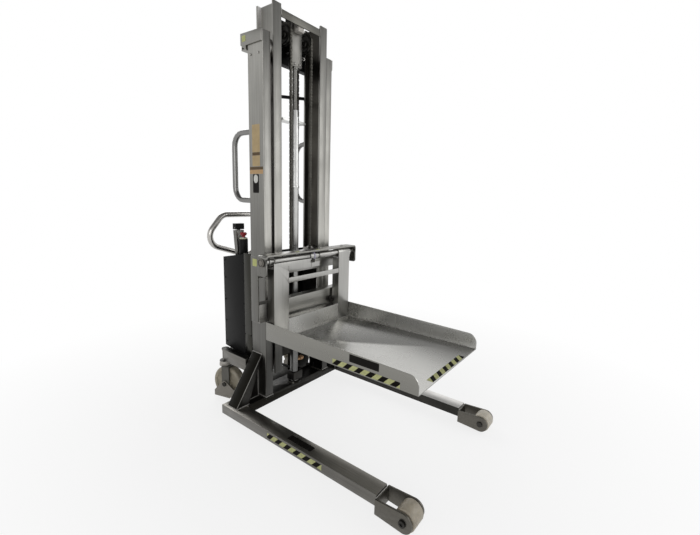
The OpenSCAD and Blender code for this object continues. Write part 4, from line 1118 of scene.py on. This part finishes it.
studioLook = {
    "floor": (0.90, 0.90, 0.90), "floorSize": 40, "floorRough": 0.8,
    "nearMix": 0.78, "nearReach": 0.8, "farReach": 2.2,
    "horizon": 1.0, "zenith": 0.28, "bandTop": 0.45, "darkFrom": 0.62,
    "dimSide": (-0.75, 0.66, 0), "skyDim": (0.62, 0.95, 0.92),
    "aim": (0, 0, 0.9), "lampSize": 2.4,
    "lamps": {"key": ((2.6, -3.2, 2.6), 28), "fill": ((-3.4, -2.0, 2.4), 30), "rear": ((1.5, 3.4, 2.8), 40)},
}


def sideDim(tree, vector, look):
    # 1 all round, falling towards dimSide; skyDim gives where it starts, where it ends and how far it falls
    unit = vectorNode(tree, "NORMALIZE", vectorNode(tree, "MULTIPLY", vector, (1, 1, 0)))
    dot = vectorNode(tree, "DOT_PRODUCT", unit, look["dimSide"]).outputs["Value"]
    start, end, low = look["skyDim"]
    return ramp(tree, mapRange(tree, dot, 0, 1, start, end), [(0.0, (1, 1, 1)), (1.0, (low,) * 3)])


def makeFloor(look):
    # pale ground that turns into the backdrop's white away from the object
    bm = bmesh.new()
    bmesh.ops.create_grid(bm, x_segments=1, y_segments=1, size=look["floorSize"])
    ground = bpy.data.meshes.new("studioFloor")
    bm.to_mesh(ground)
    bm.free()
    made, tree = newMaterial("paleFloor")
    pale = look["floor"]
    speckle = ramp(tree, noise(tree, 3, 3, 0.5), [(0.3, scaled(pale, 0.985)), (0.7, pale)])
    finished(made, {"Base Color": speckle, "Roughness": look["floorRough"]})
    reach = vectorNode(tree, "LENGTH", coordinates(tree)).outputs["Value"]
    fade = mapRange(tree, reach, look["nearMix"], 1.0, look["nearReach"], look["farReach"])
    rays = addNode(tree, "ShaderNodeLightPath").outputs
    seen = rays["Is Camera Ray"]
    for ray in ("Is Glossy Ray", "Is Transmission Ray"):
        seen = mathNode(tree, "MAXIMUM", seen, rays[ray])
    share = mathNode(tree, "MULTIPLY", seen, fade)
    white = addNode(tree, "ShaderNodeEmission", {"Color": (1, 1, 1, 1), "Strength": look["horizon"]})
    mix = addNode(tree, "ShaderNodeMixShader", {0: share, 1: tree.nodes["Principled BSDF"], 2: white})
    plug(tree, tree.nodes["Material Output"], {"Surface": mix})
    ground.materials.append(made)
    linked("studioFloor", ground)


def makeLamp(name, spot, watts, look):
    lamp = bpy.data.lights.new(name, "AREA")
    lamp.shape = "SQUARE"
    lamp.size = look["lampSize"]
    lamp.energy = watts
    holder = linked(name, lamp)
    holder.location = spot
    holder.rotation_euler = (Vector(look["aim"]) - Vector(spot)).to_track_quat("-Z", "Y").to_euler()


def makeStudio(look):
    makeFloor(look)
    world = bpy.data.worlds.new("studioWorld")
    bpy.context.scene.world = world
    world.use_nodes = True
    tree = world.node_tree
    sky = coordinates(tree, "Generated")
    height = addNode(tree, "ShaderNodeSeparateXYZ", {"Vector": sky}).outputs["Z"]
    high, low = (look["horizon"],) * 3, (look["zenith"],) * 3
    stops = [(0.0, high), (look["bandTop"], high), (look["darkFrom"], low)]
    light = mixed(tree, ramp(tree, mapRange(tree, height, 0, 1), stops), sideDim(tree, sky, look))
    plug(tree, tree.nodes["Background"], {"Color": light, "Strength": 1.0})
    for name, (spot, watts) in look["lamps"].items():
        makeLamp(name + "Lamp", spot, watts, look)
    bpy.context.scene.view_settings.view_transform = "Standard"


makeStudio(studioLook)
print("studio lit")
